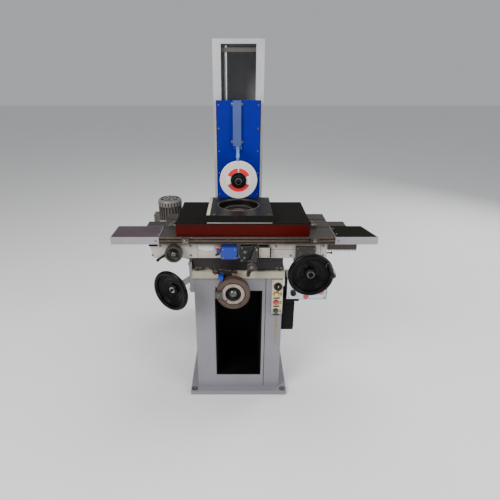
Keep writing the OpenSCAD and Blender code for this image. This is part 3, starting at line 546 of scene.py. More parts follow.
FINISHES = {
    "base_paint": base_paint,
    "cream_paint": lambda: painted("cream_paint", paint("cream"), wear=0.65, dirt=0.62,
                                   soil=(0.20, 0.15, 0.06)),
    # Near-black lining of the open base compartment: painted shade, standing in for the dark inside of the opening.
    "liner_black": lambda: painted("liner_black", (0.0025, 0.0025, 0.003), rough=0.65, wear=0.05, dirt=0.15,
                                   soil=(0.008, 0.007, 0.006), coat=0.0, gloss=0.1),
    "panel_cream": lambda: painted("panel_cream", linear((0.80, 0.765, 0.64)), wear=0.2, dirt=0.35,
                                   skin=700.0),
    "column_paint": lambda: painted("column_paint", paint("column"), wear=0.4, dirt=0.42),
    "cover_paint": lambda: painted("cover_paint", linear((0.66, 0.66, 0.67)), wear=0.3, dirt=0.35),
    "bearing_iron": lambda: machined("bearing_iron", (0.16, 0.15, 0.14), rough=0.45),
    "bracket_grey": lambda: painted("bracket_grey", linear((0.62, 0.61, 0.63)), wear=0.5, dirt=0.5),
    "dark_iron": lambda: painted("dark_iron", linear((0.24, 0.235, 0.22)), wear=0.6, dirt=0.45, rough=0.38),
    "box_black": lambda: painted("box_black", (0.004, 0.004, 0.0045), wear=0.3, dirt=0.2, rough=0.5,
                                 soil=(0.018, 0.016, 0.014), under=(0.06, 0.06, 0.06), coat=0.0, gloss=0.12),
    "face_white": lambda: painted("face_white", paint("switch_face"), wear=0.1, dirt=0.2, skin=700.0),
    "motor_grey": lambda: painted("motor_grey", linear((0.33, 0.30, 0.29)), wear=0.7, dirt=0.6,
                                  soil=(0.035, 0.028, 0.024), under=(0.28, 0.27, 0.26), gloss=0.3),
    "motor_cover": lambda: painted("motor_cover", linear((0.46, 0.44, 0.43)), wear=0.6, dirt=0.55,
                                   gloss=0.3),
    "carriage_dark": lambda: machined("carriage_dark", linear((0.19, 0.175, 0.175)), rough=0.45, metal=0.15,
                                      dirt=0.6, depth=0.0001, stain=(0.018, 0.013, 0.010),
                                      bright=(0.30, 0.28, 0.26), gloss=0.25),
    # The saddle's and the table's level faces carry painted shade.
    "saddle_grey": lambda: shaded_top("saddle_grey", paint("saddle"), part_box("saddle_bed")[0].y,
                                     builder=painted, wear=0.75, dirt=0.75, gloss=0.25),
    "valve_dark": lambda: painted("valve_dark", linear((0.085, 0.10, 0.10)), wear=0.75, dirt=0.5,
                                  under=(0.26, 0.25, 0.24), soil=(0.022, 0.018, 0.014), gloss=0.3),
    "valve_blue": lambda: moulded("valve_blue", paint("valve"), rough=0.4, dust=0.25, coat=0.2),
    "switch_beige": lambda: painted("switch_beige", linear((0.71, 0.67, 0.60)), wear=0.4, dirt=0.5),
    "nut_bronze": lambda: machined("nut_bronze", (0.42, 0.26, 0.10), rough=0.4),
    "table_steel": lambda: shaded_top("table_steel", linear((0.35, 0.305, 0.27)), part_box("table")[0].y,
                                     builder=machined, rough=0.4, metal=0.55, dirt=0.65, depth=0.0001,
                                     stain=(0.030, 0.021, 0.014), bright=(0.66, 0.61, 0.56), gloss=0.2),
    "rack_steel": lambda: machined("rack_steel", linear((0.30, 0.28, 0.26)), rough=0.4, dirt=0.6),
    "tray_grey": lambda: painted("tray_grey", paint("tray"), wear=0.35, dirt=0.35, skin=600.0),
    "chuck_red": lambda: painted("chuck_red", paint("chuck"), shade=0.7, wear=0.3, dirt=0.35, rough=0.42,
                                 soil=(0.035, 0.006, 0.003), coat=0.0, gloss=0.1),
    "chuck_pole": pole_plate,
    "clamp_steel": lambda: machined("clamp_steel", (0.17, 0.16, 0.14), rough=0.4, dirt=0.6),
    "block_dark": lambda: machined("block_dark", (0.007, 0.0075, 0.006), rough=0.3, metal=0.0, dirt=0.6,
                                   stain=(0.024, 0.018, 0.012), wear=0.5, bright=(0.22, 0.21, 0.19), gloss=0.1),
    "head_grey": lambda: machined("head_grey", (0.20, 0.20, 0.20), rough=0.45),
    "apron_blue": lambda: painted("apron_blue", paint("apron"), shade=0.75, wear=0.25, dirt=0.25, rough=0.38,
                                  soil=(0.010, 0.018, 0.08), coat=0.04, gloss=0.2),
    "housing_blue": lambda: painted("housing_blue", linear((0.07, 0.12, 0.40)), wear=0.3, dirt=0.35,
                                    soil=(0.012, 0.014, 0.035), gloss=0.3),
    "bearing_steel": lambda: machined("bearing_steel", (0.5, 0.5, 0.51), rough=0.25),
    "spindle_motor": lambda: painted("spindle_motor", linear((0.42, 0.43, 0.45)), wear=0.3, dirt=0.3),
    "guard_grey": lambda: painted("guard_grey", linear((0.29, 0.36, 0.58)), wear=0.4, dirt=0.4, gloss=0.25),
    "hose_blue": lambda: moulded("hose_blue", linear((0.33, 0.47, 0.76)), rough=0.35, dust=0.35, coat=0.1),
    "spindle_steel": lambda: turned("spindle_steel", (0.5, 0.5, 0.5), "spindle_spin", rough=0.28),
    "flange_black": lambda: turned("flange_black", (0.025, 0.025, 0.028), "spindle_spin", rough=0.34,
                                   bright=(0.25, 0.25, 0.25)),
    "abrasive_white": abrasive,
    "wheel_black": lambda: painted("wheel_black", (0.0035, 0.0035, 0.0035), rough=0.24, wear=0.3, dirt=0.15,
                                   soil=(0.012, 0.011, 0.009), under=(0.10, 0.095, 0.075), coat=0.0, gloss=0.12),
    "grip_black": lambda: moulded("grip_black", (0.004, 0.004, 0.004), rough=0.22, dust=0.1, gloss=0.25),
    "dial_bronze": lambda: turned("dial_bronze", linear((0.36, 0.29, 0.25)), "cross_feed_turn", rough=0.42,
                                  metal=0.4, dirt=0.8, bright=(0.50, 0.44, 0.39)),
    "dial_light": lambda: turned("dial_light", linear((0.70, 0.63, 0.59)), "cross_feed_turn", rough=0.36,
                                 metal=0.4, dirt=0.85),
    "screw_steel": lambda: machined("screw_steel", (0.46, 0.46, 0.46), rough=0.3, dirt=0.3),
    "lever_brown": lambda: machined("lever_brown", linear((0.22, 0.19, 0.18)), rough=0.36, metal=0.35, dirt=0.6,
                                    wear=0.85, depth=0.00015, stain=(0.015, 0.010, 0.008), gloss=0.35),
    "knob_olive": lambda: moulded("knob_olive", linear((0.19, 0.18, 0.15)), rough=0.32, dust=0.5),
    "black_plastic": lambda: moulded("black_plastic", (0.005, 0.005, 0.005), rough=0.38, gloss=0.25),
    "button_yellow": lambda: moulded("button_yellow", linear((0.88, 0.70, 0.16)), rough=0.25, coat=0.4),
    "button_red": lambda: moulded("button_red", linear((0.84, 0.11, 0.14)), rough=0.25, coat=0.4),
    "button_green": lambda: moulded("button_green", linear((0.10, 0.22, 0.12)), rough=0.25, coat=0.4),
    "lamp_orange": lambda: moulded("lamp_orange", linear((0.90, 0.36, 0.12)), rough=0.2, dust=0.1, coat=0.6),
    "paper_white": lambda: printed("paper_white", (0.80, 0.76, 0.75), rough=0.7),
    "label_red": lambda: printed("label_red", paint("label_red"), rough=0.55),
    "plate_bright": lambda: machined("plate_bright", (0.72, 0.71, 0.69), rough=0.3, dirt=0.2, wear=0.1),
    "seam_black": lambda: printed("seam_black", (0.012, 0.012, 0.013), rough=0.8),
    "cable_orange": lambda: moulded("cable_orange", linear((0.85, 0.42, 0.16)), rough=0.45),
    "mat_dark": lambda: moulded("mat_dark", linear((0.085, 0.09, 0.065)), rough=0.8, dust=0.3, skin=350.0,
                                depth=0.0003, gloss=0.02),
    "mat_grey": lambda: painted("mat_grey", linear((0.27, 0.235, 0.255)), rough=0.6, wear=0.2, dirt=0.5, coat=0.0,
                                gloss=0.08),
    "bolt_steel": lambda: machined("bolt_steel", (0.20, 0.19, 0.18), rough=0.35, dirt=0.5),
    "nut_grey": lambda: machined("nut_grey", linear((0.36, 0.365, 0.355)), rough=0.22, metal=0.6, dirt=0.5),
    "stop_red": lambda: moulded("stop_red", linear((0.25, 0.09, 0.08)), rough=0.5),
}
made_materials = {}


def finish(key):
    """One finish by name, made the first time it is wanted."""
    if key not in made_materials:
        made_materials[key] = FINISHES[key]()
    return made_materials[key]


# ---------------------------------------------------------------------------
# Modelling helpers
# ---------------------------------------------------------------------------


def mm(x, y, z):
    """A point given in millimetres."""
    return Vector((x, y, z)) * MM


def facing(centre, axis):
    """The matrix that takes the origin to a centre and +Z to an axis."""
    return Matrix.Translation(centre) @ Vector(axis).to_track_quat("Z", "Y").to_matrix().to_4x4()


def round_edges(bm, verts, amount, steps=2):
    """Bevels every edge that the given corners share."""
    edges = list(dict.fromkeys(edge for vert in verts for edge in vert.link_edges))
    bmesh.ops.bevel(bm, geom=edges, offset=amount, offset_type="OFFSET", segments=steps, profile=0.5,
                    affect="EDGES", material=-1)


def add_block(bm, low, high, bevel=0.0):
    """A block between two corners, with its edges rounded."""
    low, high = Vector(low), Vector(high)
    stretch = Matrix.Diagonal((*(high - low), 1.0))
    made = bmesh.ops.create_cube(bm, size=1.0, matrix=Matrix.Translation((low + high) / 2) @ stretch)
    if bevel > 0.0:
        round_edges(bm, made["verts"], bevel)


def add_rod(bm, start, end, radius, far_radius=None, segments=40, bevel=0.0):
    """A round bar or a cone between two points."""
    start, end = Vector(start), Vector(end)
    far_radius = radius if far_radius is None else far_radius
    made = bmesh.ops.create_cone(bm, cap_ends=True, segments=segments, radius1=radius, radius2=far_radius,
                                 depth=(end - start).length, matrix=facing((start + end) / 2, end - start))
    if bevel > 0.0:
        faces = dict.fromkeys(face for vert in made["verts"] for face in vert.link_faces)
        rims = dict.fromkeys(edge for face in faces if len(face.verts) > 4 or segments < 8 for edge in face.edges)
        bmesh.ops.bevel(bm, geom=list(rims), offset=bevel, offset_type="OFFSET", segments=2, profile=0.5,
                        affect="EDGES", material=-1)


def add_ball(bm, centre, radius):
    """A round ball."""
    bmesh.ops.create_uvsphere(bm, u_segments=28, v_segments=18, radius=radius,
                              matrix=Matrix.Translation(centre))


def add_spun(bm, profile, centre, axis, closed=True, segments=96, sweep=math.tau, start=0.0):
    """Spins a profile of (radius, height) points, in millimetres, round an axis."""
    matrix = facing(centre, axis) @ Matrix.Rotation(start, 4, "Z")
    verts = [bm.verts.new(matrix @ mm(radius, 0.0, height)) for radius, height in profile]
    pairs = list(zip(verts, verts[1:]))
    if closed:
        pairs.append((verts[-1], verts[0]))
    edges = [bm.edges.new(pair) for pair in pairs]
    whole = math.isclose(sweep, math.tau)
    bmesh.ops.spin(bm, geom=verts + edges, cent=centre, axis=Vector(axis).normalized(), angle=sweep,
                   steps=segments, use_merge=whole, use_duplicate=False)
    if not whole:
        bmesh.ops.holes_fill(bm, edges=[edge for edge in bm.edges if edge.is_boundary], sides=len(profile))


def add_bolt(bm, centre, axis, radius=None, height=None, socket=True):
    """A cap screw with a socket, or a hexagon head, standing on a face."""
    radius = sizes().bolt_head if radius is None else radius
    height = radius * 0.9 if height is None else height
    centre, axis = Vector(centre), Vector(axis).normalized()
    if not socket:
        add_rod(bm, centre, centre + axis * height * 0.25, radius * 1.25, segments=28)
        add_rod(bm, centre, centre + axis * height, radius, segments=6, bevel=radius * 0.08)
        return
    r, h, well = radius / MM, height / MM, radius / MM * 0.5
    profile = [(0.0, h * 0.4), (well, h * 0.4), (well, h), (r * 0.88, h), (r, h * 0.88), (r, 0.0),
               (0.0, 0.0)]
    add_spun(bm, profile, centre, axis, closed=False, segments=24)


def make_piece(name, bm, key, body, slot, *replaced):
    """Turns a built shape into a finished piece that rides on a body."""
    bmesh.ops.remove_doubles(bm, verts=bm.verts, dist=1e-6)
    bmesh.ops.recalc_face_normals(bm, faces=bm.faces)
    mesh = bpy.data.meshes.new(name)
    bm.to_mesh(mesh)
    bm.free()
    mesh.materials.append(finish(key))
    mesh.shade_smooth()
    mesh.set_sharp_from_angle(angle=math.radians(32.0))
    piece = bpy.data.objects.new(name, mesh)
    bpy.context.scene.collection.objects.link(piece)
    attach(piece, body)
    if replaced:
        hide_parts(*replaced)
    return piece



# ---------------------------------------------------------------------------
# Pieces
# ---------------------------------------------------------------------------


class GRINDER_OT_castings(bpy.types.Operator):
    """Gives every piece of the frame its finish"""

    bl_idname = "grinder.castings"
    bl_label = "Finish the Frame"

    def execute(self, context):
        for entry in frame["record"]["subparts"]:
            material = finish(entry["material_slot"])
            for place in frame["nodes"][entry["node"]].material_slots:
                place.material = material
        return {"FINISHED"}


class GRINDER_OT_wheel_label(bpy.types.Operator):
    """Adds the grinding wheel's paper label and the rings of its flange nut"""

    bl_idname = "grinder.wheel_label"
    bl_label = "Wheel Label and Nut"

    def execute(self, context):
        low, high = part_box("grinding_wheel")
        centre = Vector(((low.x + high.x) / 2, low.y, (low.z + high.z) / 2))
        outer = sizes().label_radius / MM
        bm = bmesh.new()
        add_spun(bm, [(38, 0), (outer, 0), (outer, 0.4), (38, 0.4)], centre, FRONT)
        make_piece("label_paper", bm, "paper_white", "spindle", "abrasive_white")
        bm = bmesh.new()
        for start, sweep in ((24, 63), (93, 63), (204, 132)):
            add_spun(bm, [(40.5, 0.4), (outer - 2, 0.4), (outer - 2, 0.7), (40.5, 0.7)], centre, FRONT,
                     segments=40, sweep=math.radians(sweep), start=math.radians(start))
        make_piece("label_printing", bm, "label_red", "spindle", "abrasive_white")
        flange_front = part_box("wheel_flanges")[0].y
        nut = Vector((centre.x, flange_front, centre.z))
        bm = bmesh.new()
        add_spun(bm, [(23.4, -4), (26, -4.6), (27.5, -6.5), (27.5, -12.2), (23.4, -12.2)], nut, FRONT)
        add_spun(bm, [(33, -18.2), (38, -18.2), (38.4, -17.4), (35.5, -16.8), (33, -17.4)], nut, FRONT)
        add_spun(bm, [(0, 5.6), (6, 5.6), (7, 4.8), (13.5, 4.6), (16.4, 3.0), (16.4, -0.5), (0, -0.5)], nut, FRONT,
                 closed=False)
        make_piece("flange_nut", bm, "flange_black", "spindle", "flange_black")
        return {"FINISHED"}


def web_height(radius):
    """Height of a handwheel's web, in millimetres, at a radius."""
    return 26.0 - 0.375 * (radius - 20.0)


def dress_handwheel(name, body, centre, axis, boss_height):
    """Ridged liner in a handwheel's dish, and the black nut at its centre."""
    ridge = sizes().ridge / MM
    radii = [22.0 + 1.5 * step for step in range(41)]
    crests = (44.5, 66.0, 75.0)
    front = [(r, web_height(r) - 1.0 - (ridge if min(abs(r - crest) for crest in crests) < 2.0 else 0.0))
             for r in radii]
    back = [(radii[-1], web_height(radii[-1]) + 0.6), (radii[0], web_height(radii[0]) + 0.6)]
    bm = bmesh.new()
    add_spun(bm, front + back, centre, axis)
    add_spun(bm, [(79.6, -2.0), (82.5, -8.0), (85.5, -9.6), (88.0, -9.4), (84.0, -4.0)], centre, axis)
    make_piece(name + "_dish", bm, "wheel_black", body, "wheel_black")
    bm = bmesh.new()
    top = boss_height
    add_spun(bm, [(0, top - 3.0), (11.5, top - 3.0), (13.5, top - 1.5), (13.5, top + 2.0), (0, top + 2.0)],
             centre, axis, closed=False)
    tip = centre + axis * (top - 3.0) * MM
    add_rod(bm, tip, tip - axis * 6.0 * MM, 9.0 * MM, segments=6, bevel=0.6 * MM)
    add_rod(bm, tip - axis * 6.0 * MM, tip - axis * 9.0 * MM, 4.5 * MM, 3.8 * MM, segments=24)
    make_piece(name + "_nut", bm, "wheel_black", body, "wheel_black")


class GRINDER_OT_handwheels(bpy.types.Operator):
    """Dresses the two large handwheels with ridged dishes and centre nuts"""

    bl_idname = "grinder.handwheels"
    bl_label = "Handwheels"

    def execute(self, context):
        centre, axis = joint_place("table_wheel_turn")
        hub_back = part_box("table_handwheel")[1].y
        dress_handwheel("table_wheel", "table_wheel", Vector((centre.x, hub_back - 52 * MM, centre.z)),
                        axis, -4.0)
        centre, axis = joint_place("elevating_handwheel_turn")
        dress_handwheel("elevating_wheel", "elevating_handwheel", centre, axis, 12.0)
        bm = bmesh.new()
        add_spun(bm, [(7.8, 20.0), (14.2, 18.5), (14.2, 8.0), (7.8, 8.0)], centre, axis)
        make_piece("elevating_boss", bm, "screw_steel", "elevating_handwheel", "wheel_black")
        grip = joint_place("crank_grip_spin")[0]
        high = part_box("crank_grip")[1]
        bm = bmesh.new()
        root = Vector((grip.x, high.y, grip.z))
        add_spun(bm, [(5.3, -0.6), (10.5, -0.6), (11.0, 0.2), (11.0, 1.6), (5.3, 1.6)], root, FRONT,
                 segments=40)
        make_piece("grip_collar", bm, "bolt_steel", "crank_grip", "grip_black")
        return {"FINISHED"}


class GRINDER_OT_dial(bpy.types.Operator):
    """Adds the cross feed dial's bright ring, its marks and its domed nut"""

    bl_idname = "grinder.dial"
    bl_label = "Cross Feed Dial"

    def execute(self, context):
        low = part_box("cross_dial")[0]
        axis_point = joint_place("cross_feed_turn")[0]
        centre = Vector((axis_point.x, low.y, axis_point.z))
        bm = bmesh.new()
        add_spun(bm, [(38.2, -3), (38.2, 1.2), (40, 2.2), (52, 2.2), (54, 0.9), (54, -0.5)], centre, FRONT)
        make_piece("dial_ring", bm, "dial_light", "cross_feed", "dial_bronze")
        bm = bmesh.new()
        add_spun(bm, [(55.5, 0.35), (59.5, 0.35), (59.5, -0.3), (55.5, -0.3)], centre, FRONT)
        count = sizes().dial_marks
        for mark in range(count):
            length = 9.0 if mark % 10 == 0 else (6.5 if mark % 5 == 0 else 4.0)
            turn = facing(centre, FRONT) @ Matrix.Rotation(math.tau * mark / count, 4, "Z")
            place = Matrix.Translation(mm(78.5 - length / 2, 0, 0.1))
            shape = place @ Matrix.Diagonal((length * MM, 0.7 * MM, 0.5 * MM, 1.0))
            bmesh.ops.create_cube(bm, size=1.0, matrix=turn @ shape)
        make_piece("dial_marks", bm, "seam_black", "cross_feed", "dial_bronze")
        bm = bmesh.new()
        add_spun(bm, [(0, 8.5), (7, 7.6), (13, 4.6), (17, -0.5), (18.5, -2), (18.5, -12), (0, -12)], centre, FRONT,
                 closed=False)
        screw = centre + mm(-34, 0, -34)
        add_spun(bm, [(0, 3.4), (5.6, 3.4), (7, 2.2), (7, 0.5), (0, 0.5)], screw, FRONT, closed=False,
                 segments=32)
        make_piece("dial_nut", bm, "nut_grey", "cross_feed", "screw_steel")
        # Black ring on the floor of the recess round the nut, and a black bar across the screw head for its slot:
        # painted shade in the recess and the slot.
        bm = bmesh.new()
        add_spun(bm, [(18.8, -17.5), (37.8, -17.5), (37.8, -19.5), (18.8, -19.5)], centre, FRONT)
        add_block(bm, screw + mm(-5.4, -3.8, -0.8), screw + mm(5.4, -3.2, 0.8))
        make_piece("dial_well_shade", bm, "seam_black", "cross_feed", "dial_bronze")
        return {"FINISHED"}


class GRINDER_OT_feed_lever(bpy.types.Operator):
    """Adds the blue collar and the stop to the fine feed lever, and the clamp's bolts"""

    bl_idname = "grinder.feed_lever"
    bl_label = "Fine Feed Lever"

    def execute(self, context):
        pivot = joint_place("fine_feed_swing")[0]
        arm_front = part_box("fine_feed_lever")[0]
        knob = Vector((pivot.x - 58 * MM, arm_front.y, pivot.z + 78 * MM))
        bm = bmesh.new()
        add_spun(bm, [(0, 2.5), (8, 2.5), (11, 1), (12.4, -2), (12.4, -42), (11.6, -44), (0, -44)],
                 knob, FRONT, closed=False, segments=48)
        for step in range(14):
            turn = facing(knob, FRONT) @ Matrix.Rotation(math.tau * step / 14, 4, "Z")
            bmesh.ops.create_cone(bm, cap_ends=True, segments=10, radius1=1.1 * MM, radius2=1.1 * MM, depth=34 * MM,
                                  matrix=turn @ Matrix.Translation(mm(12.2, 0, -22)))
        make_piece("feed_collar", bm, "valve_blue", "fine_feed_lever", "lever_brown")
        bm = bmesh.new()
        stop_front, stop_back = -0.5255, -0.5215
        add_block(bm, Vector((pivot.x + 2 * MM, stop_front, pivot.z + 83 * MM)),
                  Vector((pivot.x + 21 * MM, stop_back, pivot.z + 94 * MM)), 1.5 * MM)
        make_piece("feed_stop", bm, "stop_red", "fine_feed_lever", "lever_brown")
        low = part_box("cross_screw_housing")[0]
        bm = bmesh.new()
        add_bolt(bm, Vector((low.x + 16 * MM, low.y, pivot.z + 4 * MM)), FRONT, 6.5 * MM)
        add_bolt(bm, Vector((low.x + 16 * MM, low.y, pivot.z - 9 * MM)), FRONT, 2.6 * MM)
        clamp_front = -0.522
        ring = 40 * MM
        for turn in (30, 90, 150, 210, 270, 330):
            angle = math.radians(turn)
            spot = Vector((pivot.x + ring * math.cos(angle), clamp_front, pivot.z + ring * math.sin(angle)))
            add_bolt(bm, spot, FRONT, 2.8 * MM)
        make_piece("clamp_bolts", bm, "bolt_steel", "frame", "screw_steel")
        return {"FINISHED"}


class GRINDER_OT_button_panel(bpy.types.Operator):
    """Adds bezels, caps, legend bars and the selector's pointer to the button panel"""

    bl_idname = "grinder.button_panel"
    bl_label = "Button Panel"

    def execute(self, context):
        low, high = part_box("button_panel")
        face = low.y
        legends = bmesh.new()
        bezels = bmesh.new()
        for colour in ("yellow", "red", "green"):
            node = "button_" + colour
            cap_low, cap_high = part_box(node)
            middle = (cap_low + cap_high) / 2
            cap = Vector((middle.x, cap_low.y, middle.z))
            bm = bmesh.new()
            add_spun(bm, [(0, 3.0), (5, 2.7), (9, 1.5), (11.2, -1.2), (11.2, -4.5), (0, -4.5)], cap, FRONT,
                     closed=False, segments=48)
            make_piece(node + "_cap", bm, node, node, node)
            ring = Vector((middle.x, face, middle.z))
            add_spun(bezels, [(11.8, 0), (11.8, 6.0), (13.2, 6.0), (15.2, 1.5), (15.2, 0)], ring, FRONT,
                     segments=48)
            bar = middle.z - 24 * MM
            add_block(legends, Vector((low.x + 8 * MM, face - 0.5 * MM, bar - 3.5 * MM)),
                      Vector((high.x - 14 * MM, face + 0.2 * MM, bar + 3.5 * MM)))
            for row in (-5, 4):
                add_block(legends, Vector((high.x - 14 * MM, face - 0.5 * MM, middle.z + (row - 3) * MM)),
                          Vector((high.x - 4 * MM, face + 0.2 * MM, middle.z + (row + 2) * MM)))
        make_piece("panel_legends", legends, "seam_black", "frame", "panel_cream")
        make_piece("button_bezels", bezels, "bolt_steel", "frame", "panel_cream")
        knob_low, knob_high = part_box("selector_switch")
        knob = Vector(((knob_low.x + knob_high.x) / 2, face, (knob_low.z + knob_high.z) / 2))
        bm = bmesh.new()
        add_spun(bm, [(19.4, 0), (19.4, 2.5), (21.5, 2.5), (23.0, 0)], knob, FRONT, segments=60)
        for x in (low.x + 5 * MM, high.x - 5 * MM):
            for z in (low.z + 6 * MM, high.z - 6 * MM):
                add_bolt(bm, Vector((x, face, z)), FRONT, 2.4 * MM, 1.2 * MM)
        make_piece("panel_trim", bm, "bolt_steel", "frame", "panel_cream")
        bm = bmesh.new()
        add_block(bm, Vector((knob.x - 0.9 * MM, knob_low.y - 0.4 * MM, knob.z + 2 * MM)),
                  Vector((knob.x + 0.9 * MM, knob_low.y + 0.4 * MM, knob.z + 15 * MM)))
        make_piece("selector_pointer", bm, "paper_white", "selector_switch", "black_plastic")
        return {"FINISHED"}


class GRINDER_OT_switch_box(bpy.types.Operator):
    """Adds the lamps, screws and knob grip to the switch box, and the lid of the junction box"""

    bl_idname = "grinder.switch_box"
    bl_label = "Switch Box"

    def execute(self, context):
        low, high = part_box("switch_box_face")
        face = low.y
        width, height = high.x - low.x, high.z - low.z
        red = Vector((low.x + width * 0.49, face, low.z + height * 0.12))
        orange = Vector((low.x + width * 0.87, face, low.z + height * 0.34))
        for name, key, spot, size in (("lamp_red", "button_red", red, 10.0),
                                      ("lamp_orange", "lamp_orange", orange, 11.0)):
            bm = bmesh.new()
            add_spun(bm, [(0, 9), (size * 0.55, 8), (size * 0.9, 5), (size, 2), (size, 0), (0, 0)], spot, FRONT,
                     closed=False, segments=40)
            make_piece(name, bm, key, "frame", "button_red")
        bm = bmesh.new()
        for spot, size in ((red, 11.0), (orange, 12.0)):
            add_spun(bm, [(size - 1, 0), (size - 1, 2.4), (size + 2, 2.4), (size + 3, 0)], spot, FRONT,
                     segments=40)
        for x in (low.x + 8 * MM, high.x - 8 * MM):
            for z in (low.z + 8 * MM, high.z - 8 * MM):
                add_bolt(bm, Vector((x, face, z)), FRONT, 3.4 * MM, 1.8 * MM)
        make_piece("switch_box_trim", bm, "bolt_steel", "frame", "screw_steel")
        box_low, box_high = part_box("switch_box")
        bm = bmesh.new()
        add_block(bm, Vector((box_low.x + 1 * MM, box_low.y, box_high.z - 1 * MM)),
                  Vector((box_high.x - 1 * MM, box_high.y - 2 * MM, box_high.z + 1 * MM)), 0.8 * MM)
        make_piece("switch_box_lid", bm, "face_white", "frame", "face_white")
        knob_low, knob_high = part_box("box_knob")
        knob = Vector(((knob_low.x + knob_high.x) / 2, knob_low.y, (knob_low.z + knob_high.z) / 2))
        bm = bmesh.new()
        add_block(bm, knob + mm(-3.5, -5, -13), knob + mm(3.5, 1, 13), 1.5 * MM)
        make_piece("box_knob_grip", bm, "black_plastic", "box_knob", "black_plastic")
        box_low, box_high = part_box("junction_box")
        bm = bmesh.new()
        lid_x = box_high.x - 22 * MM
        add_block(bm, Vector((lid_x, box_low.y + 12 * MM, box_low.z + 22 * MM)),
                  Vector((lid_x + 2.5 * MM, box_high.y - 12 * MM, box_low.z + 180 * MM)), 1.0 * MM)
        add_block(bm, box_low + mm(4, 4.2, 24),
                  Vector((lid_x - 5 * MM, box_low.y + 6.5 * MM, box_low.z + 170 * MM)), 0.8 * MM)
        make_piece("junction_lid", bm, "box_black", "frame", "box_black")
        bm = bmesh.new()
        for y in (box_low.y + 20 * MM, box_high.y - 20 * MM):
            for z in (box_low.z + 32 * MM, box_low.z + 170 * MM):
                add_bolt(bm, Vector((lid_x + 2.5 * MM, y, z)), RIGHT, 3.6 * MM, 2.0 * MM)
        make_piece("junction_bolts", bm, "bolt_steel", "frame", "screw_steel")
        return {"FINISHED"}


class GRINDER_OT_saddle_trim(bpy.types.Operator):
    """Adds the saddle's blank plate, seams, bumper, end pin, wipers and screws"""

    bl_idname = "grinder.saddle_trim"
    bl_label = "Saddle Trim"

    def execute(self, context):
        low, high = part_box("saddle_bed")
        face = low.y
        bm = bmesh.new()
        plate_low = Vector((-0.190, face - 1.2 * MM, low.z + 38 * MM))
        plate_high = Vector((-0.112, face, low.z + 68 * MM))
        add_block(bm, plate_low, plate_high, 0.4 * MM)
        for x in (plate_low.x + 4 * MM, plate_high.x - 4 * MM):
            for z in (plate_low.z + 4 * MM, plate_high.z - 4 * MM):
                add_ball(bm, Vector((x, plate_low.y, z)), 1.6 * MM)
        make_piece("blank_plate", bm, "plate_bright", "saddle", "saddle_grey")
        bm = bmesh.new()
        for x in (-0.198, 0.392):
            add_block(bm, Vector((x - 0.9 * MM, face - 0.25 * MM, low.z + 1 * MM)),
                      Vector((x + 0.9 * MM, face + 1 * MM, high.z)))
        add_block(bm, Vector((0.150, face - 0.25 * MM, low.z + 44 * MM)),
                  Vector((0.270, face + 1 * MM, low.z + 45.5 * MM)))
        make_piece("saddle_seams", bm, "seam_black", "saddle", "saddle_grey")
        bm = bmesh.new()
        add_block(bm, Vector((low.x + 2 * MM, face - 9 * MM, high.z - 16 * MM)),
                  Vector((low.x + 42 * MM, face + 1 * MM, high.z - 1 * MM)), 2 * MM)
        make_piece("end_bumper", bm, "mat_dark", "saddle", "black_plastic")
        bm = bmesh.new()
        pin = Vector((high.x, face + 14 * MM, low.z + 21 * MM))
        add_rod(bm, pin - RIGHT * 2 * MM, pin + RIGHT * 24 * MM, 3.5 * MM, segments=20)
        add_ball(bm, pin + RIGHT * 26 * MM, 5.5 * MM)
        make_piece("end_pin", bm, "black_plastic", "saddle", "black_plastic")
        bm = bmesh.new()
        for x, z in ((-0.372, 0.880), (-0.228, 0.880), (-0.228, 0.832), (-0.412, 0.832), (0.180, 0.877),
                     (0.250, 0.830), (0.405, 0.880), (0.405, 0.832)):
            add_bolt(bm, Vector((x, face, z)), FRONT, 5.0 * MM, 3.5 * MM)
        for z in (low.z + 16 * MM, low.z + 62 * MM):
            for y in (face + 30 * MM, high.y - 30 * MM):
                add_bolt(bm, Vector((high.x, y, z)), RIGHT, 5.0 * MM, 4.0 * MM)
        make_piece("saddle_screws", bm, "bolt_steel", "saddle", "screw_steel")
        low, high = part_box("saddle_carriage")
        bm = bmesh.new()
        add_block(bm, Vector((low.x + 4 * MM, low.y - 4 * MM, high.z - 9 * MM)),
                  Vector((high.x - 4 * MM, low.y + 1 * MM, high.z - 5 * MM)), 1 * MM)
        add_block(bm, low + mm(2, -3, 2), low + mm(36, 1, 24), 1.5 * MM)
        add_block(bm, Vector((high.x - 36 * MM, low.y - 3 * MM, low.z + 2 * MM)),
                  Vector((high.x - 2 * MM, low.y + 1 * MM, low.z + 24 * MM)), 1.5 * MM)
        make_piece("carriage_wipers", bm, "lever_brown", "saddle", "carriage_dark")
        bm = bmesh.new()
        for x in (low.x + 10 * MM, low.x + 28 * MM, high.x - 28 * MM, high.x - 10 * MM):
            add_bolt(bm, Vector((x, low.y - 3 * MM, low.z + 13 * MM)), FRONT, 4.2 * MM, 2.5 * MM)
        make_piece("wiper_screws", bm, "bolt_steel", "saddle", "screw_steel")
        return {"FINISHED"}


